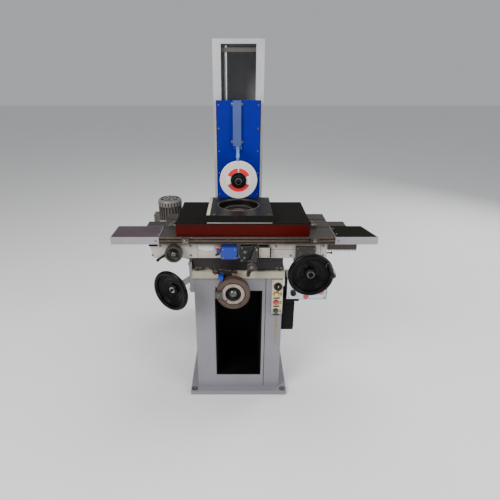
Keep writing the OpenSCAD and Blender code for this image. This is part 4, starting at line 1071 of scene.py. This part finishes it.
class GRINDER_OT_valves(bpy.types.Operator):
    """Adds bolts, glands and plates to the solenoid valve, valve body, limit switch and pinion housing"""

    bl_idname = "grinder.valves"
    bl_label = "Valves and Switch"

    def execute(self, context):
        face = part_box("saddle_bed")[0].y
        low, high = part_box("solenoid_valve")
        left = high.x - 73 * MM
        bm = bmesh.new()
        for x in (left + 9 * MM, high.x - 9 * MM):
            for z in (low.z + 9 * MM, high.z - 9 * MM):
                add_bolt(bm, Vector((x, low.y, z)), FRONT, 4.2 * MM, 3.0 * MM)
        add_block(bm, Vector((left - 4 * MM, face - 30 * MM, low.z - 9 * MM)),
                  Vector((high.x + 5 * MM, face, low.z - 0.3 * MM)), 1 * MM)
        make_piece("solenoid_bolts", bm, "bolt_steel", "saddle", "screw_steel")
        bm = bmesh.new()
        add_block(bm, Vector((left - 1.5 * MM, low.y + 14 * MM, low.z + 3 * MM)),
                  Vector((high.x + 1.5 * MM, low.y + 18 * MM, high.z + 0.8 * MM)), 0.8 * MM)
        add_block(bm, Vector((left + 18 * MM, face - 22 * MM, high.z - 2 * MM)),
                  Vector((high.x - 4 * MM, face - 4 * MM, high.z + 1 * MM)), 0.8 * MM)
        gland = Vector((left, face - 26 * MM, low.z + 31 * MM))
        add_rod(bm, gland, gland - RIGHT * 7 * MM, 13.5 * MM, segments=6, bevel=0.8 * MM)
        add_rod(bm, gland + mm(-10, -1, -14), gland + mm(-28, -1, -22), 6 * MM, 5 * MM, segments=20)
        make_piece("solenoid_gland", bm, "black_plastic", "saddle", "black_plastic")
        bm = bmesh.new()
        add_rod(bm, gland - RIGHT * 7 * MM, gland - RIGHT * 19 * MM, 9 * MM, 6.5 * MM, segments=32,
                bevel=0.6 * MM)
        add_rod(bm, gland + mm(-6, 2, 14), gland + mm(-24, 2, 16), 5 * MM, 4.5 * MM, segments=20,
                bevel=0.5 * MM)
        make_piece("solenoid_nut", bm, "cable_orange", "saddle", "valve_blue")
        low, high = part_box("valve_body")
        front = face - 36 * MM
        bm = bmesh.new()
        for x in (low.x + 8 * MM, high.x - 8 * MM):
            for z in (0.822, 0.885):
                add_bolt(bm, Vector((x, front, z)), FRONT, 4.6 * MM, 4.0 * MM)
        add_rod(bm, Vector((low.x + 22 * MM, front, 0.868)),
                Vector((low.x + 22 * MM, front - 9 * MM, 0.868)), 8 * MM, segments=6, bevel=0.6 * MM)
        add_rod(bm, Vector((low.x + 22 * MM, front - 9 * MM, 0.868)),
                Vector((low.x + 22 * MM, front - 14 * MM, 0.868)), 5 * MM, segments=24, bevel=0.6 * MM)
        add_rod(bm, Vector((low.x + 20 * MM, front, 0.836)),
                Vector((low.x + 20 * MM, front - 5 * MM, 0.836)), 6 * MM, segments=6, bevel=0.5 * MM)
        make_piece("valve_bolts", bm, "bolt_steel", "saddle", "screw_steel")
        bm = bmesh.new()
        add_block(bm, Vector((low.x - 3 * MM, front - 2.5 * MM, 0.848)),
                  Vector((low.x + 42 * MM, front + 4 * MM, 0.890)), 1.5 * MM)
        add_block(bm, Vector((high.x - 30 * MM, front - 3.5 * MM, 0.874)),
                  Vector((high.x + 3 * MM, front + 4 * MM, 0.897)), 1.5 * MM)
        make_piece("valve_cover", bm, "valve_dark", "saddle", "valve_dark")
        low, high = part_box("limit_switch")
        bm = bmesh.new()
        add_block(bm, Vector((low.x - 3 * MM, face - 26 * MM, low.z - 16 * MM)),
                  Vector((high.x + 7 * MM, face, low.z - 11 * MM)), 1 * MM)
        add_block(bm, Vector((high.x + 3 * MM, face - 26 * MM, low.z - 12 * MM)),
                  Vector((high.x + 7 * MM, face, high.z - 8 * MM)), 1 * MM)
        add_block(bm, Vector((low.x - 3 * MM, face - 26 * MM, low.z - 12 * MM)),
                  Vector((low.x + 1 * MM, face, low.z + 4 * MM)), 1 * MM)
        add_block(bm, Vector((low.x + 4 * MM, low.y + 6 * MM, high.z - 1 * MM)),
                  Vector((high.x - 4 * MM, face, high.z + 5 * MM)), 1.5 * MM)
        make_piece("switch_guard", bm, "valve_dark", "saddle", "black_plastic")
        bm = bmesh.new()
        for x in (low.x + 7 * MM, high.x - 7 * MM):
            for z in (low.z + 7 * MM, high.z - 7 * MM):
                add_bolt(bm, Vector((x, low.y, z)), FRONT, 2.8 * MM, 1.6 * MM)
        make_piece("switch_screws", bm, "bolt_steel", "saddle", "screw_steel")
        low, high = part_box("pinion_housing")
        front = face - 16 * MM
        shaft = joint_place("table_wheel_turn")[0]
        bm = bmesh.new()
        for x in (shaft.x - 38 * MM, shaft.x + 38 * MM):
            for z in (low.z + 9 * MM, high.z - 9 * MM):
                add_bolt(bm, Vector((x, front, z)), FRONT, 4.8 * MM, 4.5 * MM)
        add_rod(bm, Vector((shaft.x - 30 * MM, front + 4 * MM, high.z - 2 * MM)),
                Vector((shaft.x - 30 * MM, front + 4 * MM,
                        high.z + 9 * MM)), 4.0 * MM, segments=20, bevel=0.8 * MM)
        make_piece("housing_bolts", bm, "bolt_steel", "saddle", "screw_steel")
        bm = bmesh.new()
        collar = Vector((shaft.x, low.y, shaft.z))
        add_spun(bm,
                 [(15, 1.5), (22, 1.5), (26, -1.0), (27.5, -6), (27.5, -14), (25.2, -14), (25.2, 0),
                  (15, 0)], collar, FRONT)
        make_piece("housing_collar", bm, "lever_brown", "saddle", "dark_iron")
        return {"FINISHED"}


class GRINDER_OT_levers(bpy.types.Operator):
    """Dresses the reversing lever, the throttle knob and the start lever"""

    bl_idname = "grinder.levers"
    bl_label = "Levers and Throttle"

    def execute(self, context):
        pivot = joint_place("reverse_lever_swing")[0]
        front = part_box("reverse_lever")[0].y + 4 * MM
        hub = Vector((pivot.x, front, pivot.z))
        bm = bmesh.new()
        add_rod(bm, hub + mm(0, 12, 0), hub + mm(0, 3, 0), 31 * MM, segments=3, bevel=7 * MM)
        add_spun(bm, [(9, 2.5), (20, 2.5), (23, 0), (24.5, -4), (22, -9), (9, -9)], hub, FRONT, segments=64)
        make_piece("lever_hub", bm, "lever_brown", "reverse_lever", "lever_brown")
        bm = bmesh.new()
        add_bolt(bm, hub + mm(0, 1, 0), FRONT, 8.5 * MM, 5 * MM)
        for turn in (90, 210, 330):
            spot = hub + mm(17 * math.cos(math.radians(turn)), -2, 17 * math.sin(math.radians(turn)))
            add_bolt(bm, spot, FRONT, 2.6 * MM, 1.6 * MM)
        tip = hub + mm(22, 8, 88)
        add_rod(bm, tip, tip + mm(0, -10, 0), 7 * MM, 5.5 * MM, segments=28, bevel=0.8 * MM)
        make_piece("lever_screws", bm, "bolt_steel", "reverse_lever", "screw_steel")
        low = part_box("reverse_lever")[0]
        bm = bmesh.new()
        grip = Vector((pivot.x - 16 * MM, low.y, pivot.z - 41 * MM))
        add_spun(bm, [(0, 1.5), (6, 1.2), (9.0, -2), (9.4, -10), (8.6, -19), (0, -19)], grip, FRONT,
                 closed=False, segments=36)
        make_piece("lever_grip", bm, "black_plastic", "reverse_lever", "black_plastic")
        centre = joint_place("throttle_turn")[0]
        low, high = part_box("throttle_knob")
        knob = Vector((centre.x, low.y, centre.z))
        outer = (high.x - low.x) / 2 / MM
        bm = bmesh.new()
        for step in range(24):
            turn = facing(knob, FRONT) @ Matrix.Rotation(math.tau * step / 24, 4, "Z")
            bmesh.ops.create_cone(bm, cap_ends=True, segments=10, radius1=1.5 * MM, radius2=1.5 * MM, depth=25 * MM,
                                  matrix=turn @ Matrix.Translation(mm(outer - 0.6, 0, -15)))
        add_spun(bm,
                 [(outer - 9.2, -9), (outer - 9.2, 0.2), (outer - 4, 1.4), (outer - 0.5, 0.2),
                  (outer - 0.5, -2)], knob, FRONT)
        add_spun(bm, [(12.2, -21), (20, -20), (outer - 9.5, -14), (outer - 9.5, -22.5), (12.2, -22.5)],
                 knob, FRONT)
        make_piece("throttle_rim", bm, "knob_olive", "throttle_knob", "knob_olive")
        bm = bmesh.new()
        add_spun(bm, [(0, 4), (6, 3.4), (10.5, 1.0), (12.4, -2), (12.4, -8), (0, -8)], knob, FRONT,
                 closed=False, segments=48)
        make_piece("throttle_cap", bm, "nut_grey", "throttle_knob", "clamp_steel")
        return {"FINISHED"}


class GRINDER_OT_table_trim(bpy.types.Operator):
    """Adds the trays' mats, the table's end screws and the trip dogs' nuts"""

    bl_idname = "grinder.table_trim"
    bl_label = "Table Trim"

    def execute(self, context):
        low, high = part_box("left_tray")
        bm = bmesh.new()
        add_block(bm, Vector((low.x + 3 * MM, low.y + 3 * MM, high.z - 0.5 * MM)), high + mm(-2, -3, 0.8),
                  0.5 * MM)
        make_piece("left_mat", bm, "mat_grey", "table", "tray_grey")
        low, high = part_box("right_tray")
        slant = 41 * MM
        bm = bmesh.new()
        add_block(bm, Vector((low.x + 2 * MM, low.y + 4 * MM, high.z - 0.5 * MM)), high + mm(0, -3, 1.2))
        edge_point = Vector((high.x - 5 * MM, low.y, high.z))
        outward = Vector((high.y - low.y, slant, 0.0)).normalized()
        cut = bmesh.ops.bisect_plane(bm, geom=bm.verts[:] + bm.edges[:] + bm.faces[:], plane_co=edge_point,
                                     plane_no=outward, clear_outer=True)
        rim = [item for item in cut["geom_cut"] if isinstance(item, bmesh.types.BMEdge)]
        bmesh.ops.holes_fill(bm, edges=rim, sides=8)
        make_piece("right_mat", bm, "mat_dark", "table", "black_plastic")
        low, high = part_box("table")
        bm = bmesh.new()
        for node, side in (("left_tray", RIGHT * -1), ("right_tray", RIGHT)):
            tray_low, tray_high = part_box(node)
            join = tray_high.x if side.x < 0 else tray_low.x
            for step in (0.25, 0.75):
                y = tray_low.y + (tray_high.y - tray_low.y) * step
                add_bolt(bm, Vector((join + side.x * 10 * MM, y, tray_high.z + 0.6 * MM)), UP, 4 * MM,
                         2 * MM)
            add_bolt(bm, Vector((join + side.x * 14 * MM, tray_low.y, tray_high.z - 18 * MM)), FRONT,
                     4 * MM, 2.4 * MM)
        low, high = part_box("trip_dogs")
        for x in (low.x + 15 * MM, high.x - 15 * MM):
            add_bolt(bm, Vector((x, low.y, 0.920)), FRONT, 5.5 * MM, 3.5 * MM, socket=False)
        low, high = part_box("chuck_clamps")
        for x in (low.x + 26 * MM, high.x - 26 * MM):
            add_bolt(bm, Vector((x, (low.y + high.y) / 2, high.z - 12 * MM)), UP, 10.5 * MM, 8 * MM,
                     socket=False)
            add_rod(bm, Vector((x, (low.y + high.y) / 2, high.z - 2 * MM)),
                    Vector((x, (low.y + high.y) / 2, high.z + 6 * MM)), 6 * MM, segments=28, bevel=0.8 * MM)
        make_piece("table_screws", bm, "bolt_steel", "table", "screw_steel")
        return {"FINISHED"}


class GRINDER_OT_chuck_trim(bpy.types.Operator):
    """Adds the chuck plate's dark seam, and the work block's strip, edge, screws and pocket rings"""

    bl_idname = "grinder.chuck_trim"
    bl_label = "Chuck and Work Block Trim"

    def execute(self, context):
        low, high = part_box("chuck_plate")
        bm = bmesh.new()
        lip = 0.5 * MM
        add_block(bm, Vector((low.x - lip, low.y - lip, low.z - 0.6 * MM)),
                  Vector((high.x + lip, high.y + lip, low.z + 0.6 * MM)))
        make_piece("chuck_seam", bm, "seam_black", "table", "chuck_pole")
        low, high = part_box("work_block")
        bm = bmesh.new()
        add_block(bm, Vector((low.x - 0.6 * MM, low.y + 6 * MM, high.z - 9 * MM)),
                  Vector((low.x + 15 * MM, high.y - 4 * MM, high.z + 0.4 * MM)), 0.8 * MM)
        make_piece("block_strip", bm, "cream_paint", "table", "clamp_steel")
        bm = bmesh.new()
        add_block(bm, low + mm(2, -0.7, 0.1), Vector((high.x - 2 * MM, low.y + 1 * MM, low.z + 4 * MM)),
                  0.3 * MM)
        make_piece("block_edge", bm, "screw_steel", "table", "clamp_steel")
        bm = bmesh.new()
        for x in (low.x + 34 * MM, high.x - 18 * MM):
            for y in (low.y + 18 * MM, high.y - 18 * MM):
                add_bolt(bm, Vector((x, y, high.z - 2.5 * MM)), UP, 6 * MM, 3 * MM)
        centre = Vector((0.0, -0.330, high.z))
        add_spun(bm, [(99.8, -8), (99.8, 0.2), (101.5, 0.5), (103, 0.0), (103, -1.0)], centre, UP,
                 segments=128)
        make_piece("block_screws", bm, "bolt_steel", "table", "screw_steel")
        bm = bmesh.new()
        floor = centre.z - 30 * MM
        pad = Vector((0.0, centre.y, floor))
        add_spun(bm, [(62, 0), (62, 5), (64, 6), (72, 6), (74, 5), (74, 0)], pad, UP, segments=96)
        add_spun(bm, [(0, 0), (0, 3), (24, 3), (26, 0)], pad, UP, closed=False, segments=64)
        make_piece("pocket_rings", bm, "lever_brown", "table", "block_dark")
        return {"FINISHED"}


class GRINDER_OT_head_trim(bpy.types.Operator):
    """Adds the apron's screws and edge strips, the oil line's valve, clamp and segments"""

    bl_idname = "grinder.head_trim"
    bl_label = "Wheelhead Trim"

    def execute(self, context):
        low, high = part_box("head_apron")
        bm = bmesh.new()
        for x in (low.x + 12 * MM, high.x - 12 * MM):
            for step in range(5):
                z = low.z + 24 * MM + (high.z - low.z - 48 * MM) * step / 4
                add_bolt(bm, Vector((x, low.y, z)), FRONT, 4.2 * MM, 2.6 * MM)
        guard_low, guard_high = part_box("oil_guard")
        for z in (guard_low.z + 20 * MM, guard_high.z - 20 * MM):
            add_block(bm, Vector((guard_low.x - 10 * MM, low.y - 3 * MM, z - 7 * MM)),
                      Vector((guard_high.x + 10 * MM, low.y, z + 7 * MM)), 0.8 * MM)
            for x in (guard_low.x - 6 * MM, guard_high.x + 6 * MM):
                add_bolt(bm, Vector((x, low.y - 3 * MM, z)), FRONT, 2.6 * MM, 2 * MM)
        make_piece("apron_screws", bm, "bolt_steel", "head", "screw_steel")
        bm = bmesh.new()
        for x in (low.x, high.x):
            add_block(bm, Vector((x - 1.2 * MM, low.y - 1 * MM, low.z)),
                      Vector((x + 1.2 * MM, high.y + 2 * MM, high.z)), 0.5 * MM)
        add_block(bm, low + mm(0, -1, -0.5), Vector((high.x, high.y, low.z + 2 * MM)), 0.5 * MM)
        make_piece("apron_gasket", bm, "mat_dark", "head", "black_plastic")
        line_low, line_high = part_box("oil_line")
        centre_x = (line_low.x + line_high.x) / 2
        tail_y = line_high.y - 8 * MM
        run_z = 1.248
        bm = bmesh.new()
        count = 17
        start = tail_y - 14 * MM
        stop = line_low.y + 16 * MM
        for step in range(count):
            y = start + (stop - start) * step / (count - 1)
            add_spun(bm, [(0, 8.4), (4.6, 8.0), (7.2, 5.5), (8.6, 1.0), (8.2, -3.0), (6.2, -6.4), (0, -7.0)],
                     Vector((centre_x, y, run_z)), FRONT, closed=False, segments=28)
        nozzle = Vector((centre_x, line_low.y + 6 * MM, run_z))
        add_ball(bm, nozzle, 9 * MM)
        add_rod(bm, nozzle, nozzle - UP * 15 * MM, 8 * MM, 4.2 * MM, segments=28)
        make_piece("oil_hose_joints", bm, "hose_blue", "head", "hose_blue")
        bm = bmesh.new()
        valve = Vector((centre_x, tail_y, run_z))
        add_block(bm, valve + mm(-12, -12, -12), valve + mm(12, 9, 12), 2.5 * MM)
        add_rod(bm, valve + mm(0, 0, 10), valve + mm(0, 0, 20), 8.5 * MM, segments=6, bevel=0.6 * MM)
        add_rod(bm, valve + mm(10, -2, 0), valve + mm(20, -2, 0), 5 * MM, segments=24, bevel=0.5 * MM)
        add_block(bm, valve + mm(18, -6, -14), valve + mm(22, 2, 14), 1.5 * MM)
        add_block(bm, valve + mm(-22, -4, -3), valve + mm(-11, 4, 3), 1 * MM)
        make_piece("oil_valve", bm, "guard_grey", "head", "guard_grey")
        centre = joint_place("spindle_spin")[0]
        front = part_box("spindle_housing")[0].y
        cap = Vector((centre.x, front, centre.z))
        bm = bmesh.new()
        add_spun(bm, [(26, 4), (48, 4), (53, 1), (56.5, -4), (56.5, -16), (54.8, -18), (54.8, 0), (26, 0)],
                 cap, FRONT)
        make_piece("spindle_cap", bm, "housing_blue", "head", "housing_blue")
        bm = bmesh.new()
        for step in range(6):
            turn = math.radians(60 * step + 30)
            add_bolt(bm, cap + mm(48 * math.cos(turn), -3, 48 * math.sin(turn)), FRONT, 3.4 * MM, 3 * MM)
        make_piece("spindle_cap_bolts", bm, "bolt_steel", "head", "screw_steel")
        return {"FINISHED"}


class GRINDER_OT_pump_trim(bpy.types.Operator):
    """Adds the pump motor's grille, terminal lid and bolts"""

    bl_idname = "grinder.pump_trim"
    bl_label = "Pump Trim"

    def execute(self, context):
        low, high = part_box("pump_motor_cover")
        top = Vector(((low.x + high.x) / 2, (low.y + high.y) / 2, high.z))
        bm = bmesh.new()
        for radius in (10, 33, 57):
            add_spun(bm, [(radius, -1.5), (radius, 1.6), (radius + 1.5, 2.2), (radius + 5, 2.2), (radius + 6.5, 1.6),
                          (radius + 6.5, -1.5)], top, UP, segments=72)
        for step in range(6):
            turn = Matrix.Translation(top) @ Matrix.Rotation(math.tau * step / 6, 4, "Z")
            shape = Matrix.Translation(mm(36, 0, 1.4)) @ Matrix.Diagonal((46 * MM, 7 * MM, 2.4 * MM, 1.0))
            bmesh.ops.create_cube(bm, size=1.0, matrix=turn @ shape)
        make_piece("cover_rings", bm, "motor_cover", "frame", "motor_cover")
        # Black disc under the grille rings and black strips round the cover's side: painted shade of the openings.
        bm = bmesh.new()
        add_rod(bm, top - UP * 1 * MM, top + UP * 0.4 * MM, 60 * MM, segments=64)
        for step in range(24):
            turn = Matrix.Translation(top) @ Matrix.Rotation(math.tau * step / 24, 4, "Z")
            shape = Matrix.Translation(mm(71.6, 0, -23)) @ Matrix.Diagonal((1.6 * MM, 6 * MM, 22 * MM, 1.0))
            bmesh.ops.create_cube(bm, size=1.0, matrix=turn @ shape)
        make_piece("grille_shade", bm, "seam_black", "frame", "motor_cover")
        bm = bmesh.new()
        for step in range(4):
            turn = math.radians(90 * step + 45)
            spot = Vector((top.x + 66 * MM * math.cos(turn), top.y + 66 * MM * math.sin(turn), 0.586))
            add_bolt(bm, spot, UP, 5.5 * MM, 5 * MM, socket=False)
        box_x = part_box("pump_motor")[0].x
        for y in (-22, 22):
            for z in (0.710, 0.817):
                add_bolt(bm, Vector((box_x - 3 * MM, top.y + y * MM, z)), RIGHT * -1, 3.2 * MM, 2 * MM)
        for x in (-0.480, -0.300, -0.250):
            for y in (-66, 66):
                add_bolt(bm, Vector((x, top.y + y * MM, 0.572)), UP, 5.5 * MM, 5 * MM, socket=False)
        make_piece("pump_bolts", bm, "bolt_steel", "frame", "screw_steel")
        bm = bmesh.new()
        add_block(bm, Vector((box_x - 3 * MM, top.y - 29 * MM, 0.701)),
                  Vector((box_x + 1 * MM, top.y + 29 * MM, 0.826)), 2 * MM)
        add_rod(bm, Vector((box_x + 24 * MM, top.y, 0.700)), Vector((box_x + 24 * MM, top.y, 0.682)),
                11 * MM, segments=6, bevel=0.8 * MM)
        make_piece("terminal_lid", bm, "motor_grey", "frame", "motor_grey")
        return {"FINISHED"}


class GRINDER_OT_column_trim(bpy.types.Operator):
    """Adds the column's foot bolts, rear cover screws and louvre lips"""

    bl_idname = "grinder.column_trim"
    bl_label = "Column Trim"

    def execute(self, context):
        low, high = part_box("column")
        foot_top = low.z + 30 * MM
        bm = bmesh.new()
        for x in (low.x + 14 * MM, high.x - 14 * MM):
            for step in range(4):
                y = low.y + 30 * MM + (high.y - low.y - 60 * MM) * step / 3
                add_bolt(bm, Vector((x, y, foot_top)), UP, 9 * MM, 8 * MM, socket=False)
        cover_low, cover_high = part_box("column_rear_cover")
        for x in (cover_low.x + 12 * MM, cover_high.x - 12 * MM):
            for step in range(6):
                z = cover_low.z + 20 * MM + (cover_high.z - cover_low.z - 40 * MM) * step / 5
                add_bolt(bm, Vector((x, cover_high.y, z)), FRONT * -1, 4 * MM, 2.4 * MM)
        make_piece("column_bolts", bm, "bolt_steel", "frame", "screw_steel")
        bm = bmesh.new()
        slats = 8
        lowest_slat = 1.0405
        pitch = 26 * MM
        half = 72 * MM
        root = cover_high.y - 0.5 * MM
        for step in range(slats):
            z = lowest_slat + step * pitch
            add_block(bm, (-half, root, z - 2 * MM), (half, cover_high.y + 1.5 * MM, z), 0.6 * MM)
            add_block(bm, (-half, root, z + 9.5 * MM), (half, cover_high.y + 3.5 * MM, z + 12 * MM),
                      0.8 * MM)
        make_piece("louvre_lips", bm, "cover_paint", "frame", "cover_paint")
        return {"FINISHED"}


class GRINDER_OT_base_trim(bpy.types.Operator):
    """Adds the base's seams, gaskets, bracket bolts and anchor washers"""

    bl_idname = "grinder.base_trim"
    bl_label = "Base Trim"

    def execute(self, context):
        bed_low, bed_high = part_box("bed_top")
        low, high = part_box("base_casting")
        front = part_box("button_panel")[1].y
        side = bed_high.x - 6 * MM
        liner_low, liner_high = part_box("cabinet_liner")
        bm = bmesh.new()
        seam = 0.137
        add_block(bm, Vector((seam - 1.6 * MM, front - 0.4 * MM, 0.030)),
                  Vector((seam + 1.6 * MM, front + 1 * MM, bed_low.z)))
        add_block(bm, Vector((-side, front - 0.6 * MM, bed_low.z - 4 * MM)),
                  Vector((side, front + 1 * MM, bed_low.z - 0.2 * MM)))
        for x in (-side, side):
            add_block(bm, Vector((x - 0.5 * MM, front, bed_low.z - 4 * MM)),
                      Vector((x + 0.5 * MM, 0.06, bed_low.z - 0.2 * MM)))
        make_piece("base_seams", bm, "seam_black", "frame", "liner_black")
        bm = bmesh.new()
        for x in (liner_low.x - 3 * MM, liner_high.x):
            add_block(bm, Vector((x, front - 1.5 * MM, liner_low.z)),
                      Vector((x + 3 * MM, front + 2 * MM, liner_high.z)), 0.8 * MM)
        add_block(bm, Vector((liner_low.x - 3 * MM, front - 1.5 * MM, liner_high.z)),
                  Vector((liner_high.x + 3 * MM, front + 2 * MM, liner_high.z + 3 * MM)), 0.8 * MM)
        make_piece("compartment_gasket", bm, "mat_dark", "frame", "black_plastic")
        bm = bmesh.new()
        wall = -side - 22 * MM
        for y in (-0.452, -0.378):
            for z in (0.632, 0.770):
                add_bolt(bm, Vector((wall, y, z)), RIGHT * -1, 5.5 * MM, 5 * MM)
        for x in (low.x + 20 * MM, high.x - 20 * MM):
            for y in (low.y + 20 * MM, high.y - 20 * MM):
                add_spun(bm, [(9.5, 0), (9.5, 3), (17, 3), (17.5, 2.4), (17.5, 0)], Vector((x, y, 0.024)),
                         UP, segments=48)
        for x in (-side + 20 * MM, side - 20 * MM):
            for y in (bed_low.y + 12 * MM, -0.30, -0.12, 0.03):
                add_bolt(bm, Vector((x, y, bed_high.z - 20 * MM)), UP, 6 * MM, 3 * MM)
        make_piece("base_bolts", bm, "bolt_steel", "frame", "screw_steel")
        return {"FINISHED"}


def add_cover(panel, screws, low, high, outward, lift=3.0, inset=12.0):
    """A sheet cover on a wall, with a screw in each corner. Its two corners lie on the wall."""
    low, high, outward = Vector(low), Vector(high), Vector(outward)
    add_block(panel, low - outward * MM, high + outward * lift * MM, 1.4 * MM)
    along = (Vector((abs(outward.y), abs(outward.x), 0.0)), UP)
    for first in (0, 1):
        for second in (0, 1):
            spot = low.copy()
            for axis, far in zip(along, (first, second)):
                reach = (high - low).dot(axis)
                spot += axis * (reach - inset * MM if far else inset * MM)
            add_bolt(screws, spot + outward * lift * MM, outward, 4.2 * MM, 2.6 * MM)


class GRINDER_OT_base_covers(bpy.types.Operator):
    """Adds the sheet covers on the sides and back of the base and on the column's sides"""

    bl_idname = "grinder.base_covers"
    bl_label = "Base and Column Covers"

    def execute(self, context):
        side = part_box("bed_top")[1].x - 6 * MM
        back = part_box("column")[1].y + 5 * MM
        lowest_louvre = 0.47
        louvre_near, louvre_far = 0.10, 0.30
        panel = bmesh.new()
        screws = bmesh.new()
        add_cover(panel, screws, (side, -0.28, 0.11), (side, 0.36, 0.62), RIGHT)
        add_cover(panel, screws, (-side, 0.06, 0.11), (-side, 0.40, 0.44), RIGHT * -1)
        add_cover(panel, screws, (-side, -0.36, 0.11), (-side, -0.04, 0.50), RIGHT * -1)
        add_cover(panel, screws, (-0.15, back, 0.12), (0.15, back, 0.58), FRONT * -1)
        louvre_heights = [lowest_louvre + slat * 17 * MM for slat in range(7)]
        for z in louvre_heights:
            add_block(panel, (side + 2 * MM, louvre_near, z), (side + 6 * MM, louvre_far, z + 5 * MM),
                      1.6 * MM)
        make_piece("base_covers", panel, "base_paint", "frame", "base_paint")
        # Black strips under the louvre hoods: painted shade of the slots behind them.
        dark = bmesh.new()
        for z in louvre_heights:
            add_block(dark, (side + 2 * MM, louvre_near, z - 4 * MM), (side + 3.4 * MM, louvre_far, z))
        make_piece("base_louvre_shade", dark, "seam_black", "frame", "liner_black")
        for y in (-0.255, 0.335):
            for z in (0.18, 0.50):
                hinge = Vector((side + 5 * MM, y, z))
                add_rod(screws, hinge, hinge + UP * 50 * MM, 4.5 * MM, segments=24, bevel=1 * MM)
        make_piece("base_cover_screws", screws, "bolt_steel", "frame", "screw_steel")
        low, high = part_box("column")
        panel = bmesh.new()
        screws = bmesh.new()
        near, far = low.y + 80 * MM, high.y - 80 * MM
        for wall, outward in ((low.x + 32 * MM, RIGHT * -1), (high.x - 32 * MM, RIGHT)):
            for bottom, top in ((1.50, 1.72), (0.86, 1.06)):
                add_cover(panel, screws, (wall, near, bottom), (wall, far, top), outward)
        make_piece("column_covers", panel, "column_paint", "frame", "column_paint")
        make_piece("column_cover_screws", screws, "bolt_steel", "frame", "screw_steel")
        return {"FINISHED"}


CAMERA_PLACE = (0.0, -2.330, 1.650)
CAMERA_DIP = 23.2       # degrees below level
CAMERA_LENS = 30.24     # millimetres, on a 36 mm sensor
CAMERA_SHIFT = 0.023
SKY_STRENGTH = 0.45
LIGHT_TARGET = Vector((0.0, -0.2, 0.9))
LIGHTS = (              # name, place, side in metres, watts, colour
    ("key", (-2.2, -3.0, 3.3), 2.0, 165.0, (1.0, 0.985, 0.96)),
    ("fill", (2.8, -2.4, 2.2), 2.2, 75.0, (0.95, 0.97, 1.0)),
    ("top", (0.2, 0.3, 3.9), 1.8, 60.0, (1.0, 1.0, 1.0)),
    ("back", (3.2, 2.4, 2.4), 2.0, 75.0, (1.0, 1.0, 1.0)),
)


def add_area_light(name, place, size, power, tone):
    """A soft square light aimed at the middle of the machine."""
    light = bpy.data.lights.new(name, "AREA")
    light.size = size
    light.energy = power
    light.color = tone
    holder = bpy.data.objects.new(name, light)
    holder.location = place
    holder.rotation_euler = (LIGHT_TARGET - Vector(place)).to_track_quat("-Z", "Y").to_euler()
    bpy.context.scene.collection.objects.link(holder)


class GRINDER_OT_stage(bpy.types.Operator):
    """Adds the pale floor, the soft lights and the camera"""

    bl_idname = "grinder.stage"
    bl_label = "Stage"

    def execute(self, context):
        bm = bmesh.new()
        bmesh.ops.create_grid(bm, x_segments=4, y_segments=4, size=20.0)
        mesh = bpy.data.meshes.new("floor")
        bm.to_mesh(mesh)
        bm.free()
        material, tree, shader, place = start_material("floor_pale")
        cloud = noise(tree, place, 1.5, 3.0)
        tree.links.new(tint(tree, cloud, (0.80, 0.80, 0.80), (0.84, 0.84, 0.835)),
                       shader.inputs["Base Color"])
        shader.inputs["Roughness"].default_value = 0.85
        mesh.materials.append(material)
        floor = bpy.data.objects.new("floor", mesh)
        context.scene.collection.objects.link(floor)
        world = bpy.data.worlds.new("studio")
        context.scene.world = world
        world.use_nodes = True
        sky = world.node_tree.nodes["Background"]
        sky.inputs["Color"].default_value = (0.95, 0.97, 1.0, 1.0)
        sky.inputs["Strength"].default_value = SKY_STRENGTH
        for light in LIGHTS:
            add_area_light(*light)
        camera_data = bpy.data.cameras.new("camera")
        camera_data.sensor_width = 36.0
        camera_data.lens = CAMERA_LENS
        camera_data.shift_x = CAMERA_SHIFT
        camera = bpy.data.objects.new("camera", camera_data)
        camera.location = CAMERA_PLACE
        camera.rotation_euler = (math.radians(90.0 - CAMERA_DIP), 0.0, 0.0)
        context.scene.collection.objects.link(camera)
        context.scene.camera = camera
        return {"FINISHED"}


# ---------------------------------------------------------------------------
# Panel and registration
# ---------------------------------------------------------------------------

OPERATORS = (
    GRINDER_OT_castings,
    GRINDER_OT_wheel_label,
    GRINDER_OT_handwheels,
    GRINDER_OT_dial,
    GRINDER_OT_feed_lever,
    GRINDER_OT_button_panel,
    GRINDER_OT_switch_box,
    GRINDER_OT_saddle_trim,
    GRINDER_OT_valves,
    GRINDER_OT_levers,
    GRINDER_OT_table_trim,
    GRINDER_OT_chuck_trim,
    GRINDER_OT_head_trim,
    GRINDER_OT_pump_trim,
    GRINDER_OT_column_trim,
    GRINDER_OT_base_trim,
    GRINDER_OT_base_covers,
    GRINDER_OT_stage,
)


class GRINDER_PT_panel(bpy.types.Panel):
    """Lists the grinder's sizes, colours and pieces"""

    bl_idname = "GRINDER_PT_panel"
    bl_label = "Surface Grinder"
    bl_space_type = "VIEW_3D"
    bl_region_type = "UI"
    bl_category = "Grinder"

    def draw(self, context):
        layout = self.layout
        for group in (context.scene.grinder_sizes, context.scene.grinder_colours):
            box = layout.box()
            for name in group.__annotations__:
                box.prop(group, name)
        for operator in OPERATORS:
            layout.operator(operator.bl_idname)


CLASSES = (GrinderColours, GrinderSizes, GRINDER_PT_panel) + OPERATORS


def register():
    """Registers the classes and hangs the settings on the scene."""
    for item in CLASSES:
        bpy.utils.register_class(item)
    bpy.types.Scene.grinder_colours = PointerProperty(type=GrinderColours)
    bpy.types.Scene.grinder_sizes = PointerProperty(type=GrinderSizes)


def unregister():
    """Takes the settings and the classes away again."""
    del bpy.types.Scene.grinder_sizes
    del bpy.types.Scene.grinder_colours
    for item in reversed(CLASSES):
        bpy.utils.unregister_class(item)


def main():
    """Makes every piece in order."""
    register()
    for operator in OPERATORS:
        getattr(bpy.ops.grinder, operator.bl_idname.split(".")[1])()


if __name__ == "__main__":
    main()
